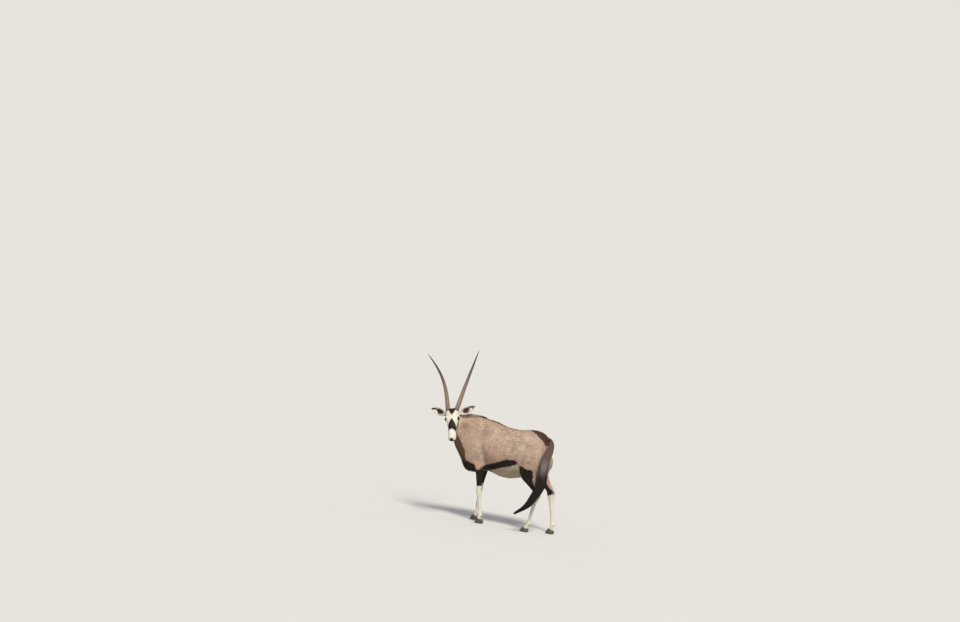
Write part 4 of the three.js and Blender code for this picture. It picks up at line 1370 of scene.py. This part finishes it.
class Field:
    """Wires a Geometry Nodes tree with named inputs and hands its modifier their values."""

    def __init__(self, name: str, inputs: dict[str, float]) -> None:
        """Starts a tree.

        Args:
            name: the tree's name.
            inputs: the name and value of each number that the tree takes.
        """
        self.tree = bpy.data.node_groups.new(name, "GeometryNodeTree")
        self.graph = Graph(self.tree)
        self.values = inputs
        face = self.tree.interface
        face.new_socket("Geometry", in_out="INPUT", socket_type="NodeSocketGeometry")
        face.new_socket("Geometry", in_out="OUTPUT", socket_type="NodeSocketGeometry")
        self.keys = {}
        for key, value in inputs.items():
            kind = "NodeSocketInt" if isinstance(value, int) else "NodeSocketFloat"
            self.keys[key] = face.new_socket(key, in_out="INPUT", socket_type=kind).identifier
        self.start = self.graph.add("NodeGroupInput")
        self.end = self.graph.add("NodeGroupOutput")

    def taken(self, key: str) -> Socket:
        """A named input's socket."""
        return self.start.outputs[key]

    def named(self, name: str, kind: str = "FLOAT") -> Socket:
        """The stored attribute of a name."""
        return self.graph.add("GeometryNodeInputNamedAttribute", {"Name": name}, data_type=kind).outputs[0]

    def stored(self, geometry: Socket, name: str, value: Socket,
               kind: str = "FLOAT_VECTOR", domain: str = "POINT") -> Socket:
        """Geometry with one more stored attribute."""
        node = self.graph.add("GeometryNodeStoreNamedAttribute", {"Geometry": geometry, "Name": name},
                              data_type=kind, domain=domain)
        self.tree.links.new(value, node.inputs["Value"])
        return node.outputs[0]

    def plus(self, a: Socket, b: Socket) -> Socket:
        """The sum of two vectors."""
        return self.graph.add("ShaderNodeVectorMath", {0: a, 1: b}, operation="ADD").outputs[0]

    def times(self, vector: Socket, scale: object) -> Socket:
        """A vector made longer or shorter."""
        return self.graph.add("ShaderNodeVectorMath", {0: vector, 3: scale}, operation="SCALE").outputs[0]

    def finish(self, geometry: Socket, material: bpy.types.Material) -> None:
        """Ends the tree in plain geometry of one material."""
        whole = self.graph.add("GeometryNodeRealizeInstances", {"Geometry": geometry})
        patch = self.times(self.named("patch", "FLOAT_VECTOR"), 0.003)
        place = self.plus(self.named("root", "FLOAT_VECTOR"), patch)
        mapped = self.stored(whole.outputs[0], "OFBake", place, "FLOAT2", "CORNER")
        dressed = self.graph.add("GeometryNodeSetMaterial", {"Geometry": mapped, "Material": material})
        self.tree.links.new(dressed.outputs[0], self.end.inputs[0])

    def run(self, piece: bpy.types.Object) -> None:
        """Puts the tree on an object, sets its inputs and keeps the result as the object's mesh."""
        change = piece.modifiers.new("field", "NODES")
        change.node_group = self.tree
        for key, value in self.values.items():
            change[self.keys[key]] = value
        bake_modifiers(piece)


class Area(Enum):
    """The areas of short coat, each a piece of its own."""

    HEAD = "head"
    NECK = "neck"
    SHOULDER = "shoulder"
    RUMP = "rump"
    LEGS = "legs"


@dataclass(frozen=True)
class Pelt:
    """How an area's tufts are: their number on a square metre, length and half width in mm, and slot."""

    density: float
    length: float
    half_width: float
    slot: str = "coat"


PELTS = {
    Area.HEAD: Pelt(60000, 9.0, 0.8, "face_coat"),
    Area.NECK: Pelt(30000, 21.0, 1.5),
    Area.SHOULDER: Pelt(24000, 23.0, 1.8),
    Area.RUMP: Pelt(24000, 23.0, 1.8),
    Area.LEGS: Pelt(36000, 13.0, 1.3),
}


@dataclass
class ShortCoat:
    """Flat closed tufts over one area of the skin, rooted in it and lying along it."""

    skin: Skin
    area: Area
    lift: float = 0.1
    shake: float = 0.13
    seed: int = 5
    piece: bpy.types.Object = field(init=False)

    def chosen(self, plan: Array) -> Array:
        """Which places belong to the area."""
        local = self.skin.stance.plan_to_head(plan)
        x, z = plan[:, 0], plan[:, 2]
        head = self.skin.stance.in_head(local) | (x < -260) & (z > 1150) & (np.abs(local[:, 1]) > 85)
        legs = (z < 620) & ((z < 560) | (np.abs(plan[:, 1]) > 60)) & ~head
        neck = (x < -110) & ~head & ~legs
        shoulder = (x < 290) & ~head & ~legs & ~neck
        rump = ~head & ~legs & ~neck & ~shoulder
        return dict(zip(Area, (head, neck, shoulder, rump, legs)))[self.area]

    def amount(self, plan: Array) -> Array:
        """How dense the tufts are, from 0 to 1: none on the nose, the eyes' rims or the hooves."""
        local = self.skin.stance.plan_to_head(plan)
        face = smooth(24, 30, self.skin.stance.from_eye(local)) * np.where(local[:, 0] > 366, 0.0, 1.0)
        return np.where(plan[:, 0] < -250, face, 1.0) * smooth(40, 52, plan[:, 2])

    def stretch(self, plan: Array) -> Array:
        """How long the hair is at each place as a share of the area's length."""
        local = self.skin.stance.plan_to_head(plan)
        head = 0.55 + 0.5 * smooth(120, 20, local[:, 0]) + 0.5 * smooth(-90, -140, local[:, 2])
        body = 1.0 + 0.35 * smooth(620, 560, plan[:, 2])
        legs = 0.7 + 0.5 * smooth(300, 560, plan[:, 2]) + 0.5 * smooth(80, 60, plan[:, 2])
        return {Area.HEAD: head, Area.LEGS: legs}.get(self.area, body)

    def field(self, coat: bpy.types.Material) -> Field:
        """The tree that grows the tufts."""
        pelt = PELTS[self.area]
        tree = Field("short_coat", {"Per Square Metre": float(pelt.density), "Length": pelt.length * MM,
                                    "Half Width": pelt.half_width * MM, "Lift": self.lift, "Seed": self.seed})
        graph = tree.graph
        amount = graph.math("MULTIPLY", tree.named("amount"), tree.taken("Per Square Metre"))
        roots = graph.add("GeometryNodeDistributePointsOnFaces",
                          {"Mesh": tree.start.outputs[0], "Density": amount, "Seed": tree.taken("Seed")})
        points = tree.stored(roots.outputs["Points"], "root", tree.named("OFBake", "FLOAT_VECTOR"))
        shake = graph.add("FunctionNodeRandomValue", {0: (-1.0, -1.0, -1.0), 1: (1.0, 1.0, 1.0)},
                          data_type="FLOAT_VECTOR").outputs[0]
        normal = roots.outputs["Normal"]
        way = tree.plus(tree.named("lie", "FLOAT_VECTOR"), tree.times(shake, self.shake))
        way = tree.plus(way, tree.times(normal, tree.taken("Lift")))
        turned = graph.add("FunctionNodeAlignRotationToVector", {"Vector": way}, axis="Z")
        turned = graph.add("FunctionNodeAlignRotationToVector",
                           {"Rotation": turned.outputs[0], "Vector": normal}, axis="X", pivot_axis="Z")
        draw = graph.add("FunctionNodeRandomValue", {2: 0.7, 3: 1.25, "Seed": 3}, data_type="FLOAT")
        long = graph.math("MULTIPLY", tree.taken("Length"), draw.outputs[1])
        long = graph.math("MULTIPLY", long, tree.named("stretch"))
        wide = tree.taken("Half Width")
        size = graph.join(graph.math("MULTIPLY", wide, 0.3), wide, long)
        tufts = graph.add("GeometryNodeInstanceOnPoints", {"Points": points, "Instance": self.tuft(tree),
                                                           "Rotation": turned.outputs[0], "Scale": size})
        tree.finish(tufts.outputs[0], coat)
        return tree

    def tuft(self, tree: Field) -> Socket:
        """One tuft as a thin leaf that bends back to the skin."""
        graph = tree.graph
        cone = graph.add("GeometryNodeMeshCone", {"Vertices": 3, "Side Segments": 2, "Radius Top": 0.0,
                                                  "Radius Bottom": 1.0, "Depth": 1.0}).outputs[0]
        facing = graph.split(graph.add("GeometryNodeInputNormal").outputs[0])[0]
        upper = graph.math("GREATER_THAN", facing, -0.3)
        cone = graph.add("GeometryNodeSetShadeSmooth", {"Geometry": cone, "Selection": upper,
                                                        "Shade Smooth": True}).outputs[0]
        out, aside, up = graph.split(graph.add("GeometryNodeInputPosition").outputs[0])
        swell = graph.math("MULTIPLY_ADD", up, 2.6, 0.6)
        bend = graph.math("MULTIPLY", graph.math("MULTIPLY", up, up), -2.2)
        moved = graph.join(graph.math("ADD", graph.math("MULTIPLY", out, swell), bend),
                           graph.math("MULTIPLY", aside, swell), up)
        bent = graph.add("GeometryNodeSetPosition", {"Geometry": cone, "Position": moved}).outputs[0]
        patch = graph.join(graph.math("MULTIPLY", aside, 0.5), graph.math("SUBTRACT", up, 0.5))
        return tree.stored(bent, "patch", patch)

    def build(self, coat: bpy.types.Material) -> None:
        """Grows the area's tufts."""
        name = f"coat_{self.area.name.lower()}"
        mesh = self.skin.piece.data.copy()
        self.piece = put(name, mesh)
        plan = self.skin.stance.to_plan(points_of(mesh))
        set_attribute(mesh, "amount", self.amount(plan) * self.chosen(plan))
        set_attribute(mesh, "stretch", self.stretch(plan))
        self.field(coat).run(self.piece)
        self.piece.data.name = name

    def dress(self) -> None:
        """Hands the tufts over; their material comes with them."""
        finish_piece(self.piece)


@dataclass
class Strands:
    """Long hair as lines with a thickness, grown into closed tapering strands."""

    name: str
    slot: str
    lines: Array
    thick: Array
    draw: Array
    root: Array
    warm: Array
    shine: Array
    replaced: tuple[str, ...] = ()
    sides: int = 3
    piece: bpy.types.Object = field(init=False)

    def build(self, hair: bpy.types.Material) -> None:
        """Grows the strands."""
        count, steps = self.lines.shape[:2]
        index = np.arange(count * steps).reshape(count, steps)
        edges = np.stack([index[:, :-1].ravel(), index[:, 1:].ravel()], 1)
        mesh = bpy.data.meshes.new(self.name)
        mesh.from_pydata(self.lines.reshape(-1, 3).tolist(), edges.tolist(), [])
        self.piece = put(self.name, mesh)
        stored = {"thick": self.thick.ravel(), "draw": np.repeat(self.draw, steps),
                  "warm": np.repeat(self.warm, steps), "shine": self.shine.ravel(),
                  "tip": np.tile(np.linspace(0, 1, steps), count),
                  "root": np.repeat(np.c_[self.root, np.zeros(count)], steps, axis=0)}
        for key, values in stored.items():
            set_attribute(mesh, key, values)
        self.field(hair).run(self.piece)
        self.piece.data.name = self.name
        self.piece.data.shade_smooth()

    def field(self, hair: bpy.types.Material) -> Field:
        """The tree that turns lines into strands."""
        tree = Field("strands", {"Sides": self.sides, "Thickness": 1.0})
        graph = tree.graph
        lines = graph.add("GeometryNodeMeshToCurve", {"Mesh": tree.start.outputs[0]}).outputs[0]
        ring = graph.add("GeometryNodeCurvePrimitiveCircle",
                         {"Resolution": tree.taken("Sides"), "Radius": 1.0})
        place = graph.add("GeometryNodeInputPosition").outputs[0]
        around = tree.stored(ring.outputs[0], "around", place)
        thick = graph.math("MULTIPLY", tree.named("thick"), tree.taken("Thickness"))
        inputs = {"Curve": lines, "Profile Curve": around, "Scale": thick, "Fill Caps": True}
        strands = graph.add("GeometryNodeCurveToMesh", inputs).outputs[0]
        across = graph.split(tree.named("around", "FLOAT_VECTOR"))[0]
        up = graph.math("SUBTRACT", tree.named("tip"), 0.5)
        patch = graph.join(graph.math("MULTIPLY", across, 0.5), up)
        tree.finish(tree.stored(strands, "patch", patch), hair)
        return tree

    def dress(self) -> None:
        """Hands the strands over; their material comes with them."""
        finish_piece(self.piece, self.replaced)


# A strand's thickness along it: the shares of its length, and of its thickness there
SHORT_TAPER = ((0, 0.5, 1), (1, 0.8, 0.15))
LONG_TAPER = ((0, 0.2, 0.7, 1), (0.7, 1, 0.8, 0.2))


@dataclass
class Hairdresser:
    """Lays the lines of the mane, the tail and the ears' fringes on the finished skin."""

    skin: Skin
    seed: int = 11
    surface: BVHTree = field(init=False)
    flat: Array = field(init=False)

    def __post_init__(self) -> None:
        """Reads the skin's surface and its flat map."""
        mesh = self.skin.piece.data
        faces = [tuple(p.vertices) for p in mesh.polygons]
        self.surface = BVHTree.FromPolygons([tuple(v) for v in points_of(mesh)], faces)
        layer = mesh.uv_layers["OFBake"]
        uv = np.empty(len(mesh.loops) * 2, np.float32)
        layer.uv.foreach_get("vector", uv)
        starts = np.array([p.loop_start for p in mesh.polygons])
        self.flat = uv.reshape(-1, 2)[starts]

    def roots(self, places: Array) -> Array:
        """The flat map's places nearest to places in the frame."""
        found = [self.surface.find_nearest(Vector(p))[2] for p in places]
        return self.flat[np.array(found)]

    def land(self, starts: Array, ways: Array) -> Array:
        """Where lines thrown at the skin meet it, or their starts where they miss."""
        ends = []
        for start, way in zip(starts, ways):
            hit = self.surface.ray_cast(Vector(start), Vector(way))[0]
            ends.append(tuple(hit) if hit else tuple(start))
        return np.array(ends)

    def mane(self, count: int = 2000, steps: int = 6) -> Strands:
        """The short mane, upright along the crest and leaning back."""
        draw = np.random.default_rng(self.seed)
        stance = self.skin.stance
        crest, along, aside, rise = along_crest(200)
        share = draw.uniform(0.03, 0.93, count)
        pick = (share * (len(crest) - 1)).astype(int)
        across = draw.normal(0, 11, count).clip(-24, 24)
        above = crest[pick] + aside[pick] * across[:, None] + rise[pick] * 140
        root = stance.to_plan(self.land(stance.to_frame(above), -rise[pick]))
        tilt = np.radians(across * 1.1 + draw.normal(0, 5, count))
        up = rise[pick] * np.cos(tilt)[:, None] + aside[pick] * np.sin(tilt)[:, None]
        ends = smooth(0.0, 0.35, share) * smooth(1.0, 0.84, share)
        height = (draw.uniform(22, 32, count) * (0.4 + 0.6 * ends))[:, None, None]
        s = np.linspace(0, 1, steps)[None, :, None]
        lines = (root[:, None] - up[:, None] * 3 + up[:, None] * height * np.sin(1.3 * s)
                 - along[pick][:, None] * 0.75 * height * s**2)
        thick = np.outer(draw.uniform(0.9, 1.5, count), np.interp(s.ravel(), *SHORT_TAPER))
        return Strands("mane", "long_hair", stance.to_frame(lines), thick * MM, draw.uniform(0, 1, count),
                       self.roots(stance.to_frame(root)), smooth(0.3, 0.02, share), np.zeros((count, steps)))

    def tail(self, part: int, count: int = 1500, clumps: int = 90, steps: int = 13) -> Strands:
        """Part of the tail's long hair: clumps of strands that swing out from its core to its outline."""
        draw = np.random.default_rng(self.seed + part)
        stance = self.skin.stance
        stations = 260
        rows = spline(TAIL, stations)
        along = unit(np.gradient(rows[:, :3], axis=0))
        wide = unit(TAIL_SIDE - along * (along @ TAIL_SIDE)[:, None])
        deep = np.cross(along, wide)
        clump = draw.integers(0, clumps, count)
        clump_turn = draw.uniform(0, 2 * math.pi, clumps)
        clump_start = draw.uniform(0.035, 0.74, clumps)
        clump_out = draw.uniform(0.72, 0.97, clumps)
        start = clump_start[clump] + draw.normal(0, 0.012, count)
        turn = clump_turn[clump] + draw.normal(0, 0.2, count)
        reach = draw.uniform(0.24, 0.36, count)
        out = clump_out[clump] * draw.uniform(0.9, 1.03, count)
        s = np.linspace(0, 1, steps)
        t = np.minimum(1.0, start[:, None] + reach[:, None] * s[None])
        index = t * (stations - 1)
        low = np.minimum(index.astype(int), stations - 2)
        part_way = (index - low)[..., None]

        def at(values: Array) -> Array:
            return values[low] * (1 - part_way) + values[low + 1] * part_way

        narrow = 1 - 0.35 * smooth(0.55, 1.0, s)[None]
        spread = out[:, None] * (0.3 + 0.62 * smooth(0, 0.45, s)[None]) * narrow
        wave = 0.05 * np.sin(s[None] * 7 + clump_turn[clump][:, None] * 3)
        angle = turn[:, None] + wave + draw.normal(0, 0.05, (count, 1)) * s[None]
        sizes = at(rows[:, 3:5])
        lines = (at(rows[:, :3]) + at(wide) * (spread * sizes[..., 1] * np.cos(angle))[..., None]
                 + at(deep) * (spread * sizes[..., 0] * np.sin(angle))[..., None])
        lines += draw.normal(0, 5.5, (count, 1, 3)) * (s**2)[None, :, None]
        thick = np.outer(draw.uniform(1.1, 2.0, count), np.interp(s, *LONG_TAPER))
        name = f"tail_hair_{part}"
        tone = (draw.uniform(0, 1, clumps)[clump] + draw.uniform(0, 0.3, count)) / 1.3
        # painted highlight: a lighter band round the tail's middle, on some clumps, for the light on the
        # hair's gloss
        shine = 0.75 * bump(lines[..., 2], 780, 75) * (draw.uniform(0, 1, clumps)[clump] > 0.35)[:, None]
        warm = smooth(700, 980, lines[:, 4, 2])
        return Strands(name, "long_hair", stance.to_frame(lines), thick * MM, tone,
                       self.roots(stance.to_frame(lines[:, 0])), warm, shine, ("tail",))

    def fringe(self, ear: Ear, count: int = 420, steps: int = 5) -> Strands:
        """The pale hair that reaches over an ear's cup from its rims."""
        draw = np.random.default_rng(self.seed + 40 + ear.side)
        stance = self.skin.stance
        t = draw.uniform(0.22, 0.9, count)
        edge = draw.choice([-1, 1], count)
        half = ear.half_width(t)
        s = np.linspace(0, 1, steps)[None]
        long = draw.uniform(14, 30, count)[:, None] * np.interp(t, (0.2, 0.5, 0.9), (1, 1, 0.5))[:, None]
        u = edge[:, None] * (half[:, None] - 5 - long * 0.7 * s)
        v = -2 - 6 * s + draw.normal(0, 1.5, (count, 1)) * s + 3 * np.sin(s * 3)
        along = t[:, None] + long * 0.7 * s / ear.length
        lines = ear.place(along, u, v)
        thick = np.outer(draw.uniform(0.6, 1.0, count), np.interp(s[0], *SHORT_TAPER))
        name = f"ear_fringe_{side_name(ear.side)}"
        return Strands(name, "face_coat", stance.to_frame(lines), thick * MM, draw.uniform(0, 1, count),
                       self.roots(stance.to_frame(lines[:, 0])), np.zeros(count), np.zeros((count, steps)))


# Studio

@dataclass
class Studio:
    """The floor, the light and the camera's place."""

    stance: Stance
    azimuth: float = 20.0
    elevation: float = 6.0
    roll: float = 7.8
    mm_per_pixel: float = 11.43
    picture: tuple[int, int] = (960, 622)
    origin_pixel: tuple[float, float] = (478.0, 521.5)
    distance: float = 60.0
    sensor: float = 36.0
    floor_radius: float = 400.0
    sun: Colour = (1.0, 0.965, 0.92)
    sun_strength: float = 3.4
    sun_angle: float = 16.0
    sky: Colour = (0.9, 0.95, 1.0)
    sky_strength: float = 0.55

    def directions(self) -> tuple[Vector, Vector, Vector]:
        """The camera's right, up and back before it is rolled."""
        a, e = math.radians(self.azimuth), math.radians(self.elevation)
        back = Vector((math.sin(a) * math.cos(e), -math.cos(a) * math.cos(e), math.sin(e)))
        right = Vector((math.cos(a), math.sin(a), 0))
        return right, back.cross(right), back

    def place_camera(self) -> None:
        """Sets the camera so that the picture is framed like the photo."""
        right, up, back = self.directions()
        turn = math.radians(self.roll)
        x = right * math.cos(turn) + up * math.sin(turn)
        y = up * math.cos(turn) - right * math.sin(turn)
        aside = (self.picture[0] / 2 - self.origin_pixel[0]) * self.mm_per_pixel * MM
        above = (self.origin_pixel[1] - self.picture[1] / 2) * self.mm_per_pixel * MM
        origin = Vector(self.stance.shift)
        spot = origin + x * aside + y * above + back * self.distance
        lens = bpy.data.cameras.new("camera")
        lens.sensor_width = self.sensor
        lens.lens = self.sensor * self.distance / (self.picture[0] * self.mm_per_pixel * MM)
        lens.clip_end = 2000.0
        camera = put("camera", lens)
        matrix = Matrix((x, y, back)).transposed().to_4x4()
        matrix.translation = spot
        camera.matrix_world = matrix
        bpy.context.scene.camera = camera

    def place_lights(self) -> None:
        """Hangs a soft light high behind the camera and fills the shadows from all round."""
        right, _, back = self.directions()
        toward = (right * 0.2 + back * 0.75 + Vector((0, 0, 1))).normalized()
        lamp = bpy.data.lights.new("key", "SUN")
        lamp.energy = self.sun_strength
        lamp.angle = math.radians(self.sun_angle)
        lamp.color = self.sun
        put("key", lamp).rotation_euler = toward.to_track_quat("Z", "Y").to_euler()
        world = bpy.data.worlds.new("studio")
        world.use_nodes = True
        Graph(world.node_tree).feed(world.node_tree.nodes["Background"],
                                    {"Color": self.sky, "Strength": self.sky_strength})
        bpy.context.scene.world = world
        bpy.context.scene.view_settings.view_transform = "Standard"

    def lay_floor(self, finish: FloorFinish) -> None:
        """Lays the floor."""
        sides = 96
        turn = np.linspace(0, 2 * math.pi, sides, endpoint=False)
        ring = np.stack([np.cos(turn), np.sin(turn), 0 * turn], 1) * self.floor_radius
        floor = new_mesh("studio_floor", ring, [tuple(range(sides))])
        floor.data.materials.append(finish.build())


def main() -> None:
    """Builds and dresses the animal and sets the studio round it."""
    logging.basicConfig(level=logging.INFO, format="%(name)s %(relativeCreated)d %(message)s")
    stance = Stance()
    studio = Studio(stance)
    studio.place_camera()
    studio.place_lights()
    studio.lay_floor(FloorFinish())
    coat = CoatFinish().build()
    dark_hair = HairFinish("gemsbok_long_hair", (0.011, 0.007, 0.006), (0.038, 0.024, 0.022)).build()
    mane_hair = HairFinish("gemsbok_mane_hair", (0.38, 0.265, 0.19), (0.6, 0.45, 0.34),
                           (0.09, 0.052, 0.036)).build()
    pale_hair = HairFinish("gemsbok_ear_hair", (0.6, 0.53, 0.44), (0.72, 0.66, 0.58), roughness=0.6).build()
    horn = HornFinish("gemsbok_horn", (0.16, 0.108, 0.07), (0.03, 0.021, 0.016)).build()
    hoof = HornFinish("gemsbok_hoof", (0.09, 0.07, 0.055), (0.06, 0.048, 0.04)).build()
    eye = EyeFinish().build()
    ears = [Ear(stance, 1), Ear(stance, -1)]
    skin = Skin(stance, ears, Markings(stance, ears))
    skin.build()
    shells = []
    for side, sag, rise in ((1, 10.0, -18.0), (-1, 52.0, 36.0)):
        shells += [(Horn(stance, side, sag, rise), horn), (Eye(stance, side), eye)]
    shells += [(Hoof(stance, leg), hoof) for leg in LEGS]
    for shell, finish in shells:
        shell.build()
        shell.dress(finish)
    hair = Hairdresser(skin)
    long_hair = [(hair.mane(), mane_hair), (hair.tail(0), dark_hair), (hair.tail(1), dark_hair)]
    long_hair += [(hair.fringe(ear), pale_hair) for ear in ears]
    for strands, finish in long_hair:
        strands.build(finish)
        strands.dress()
    for area in Area:
        tufts = ShortCoat(skin, area)
        tufts.build(coat)
        tufts.dress()
    skin.dress(coat)


if __name__ == "__main__":
    main()
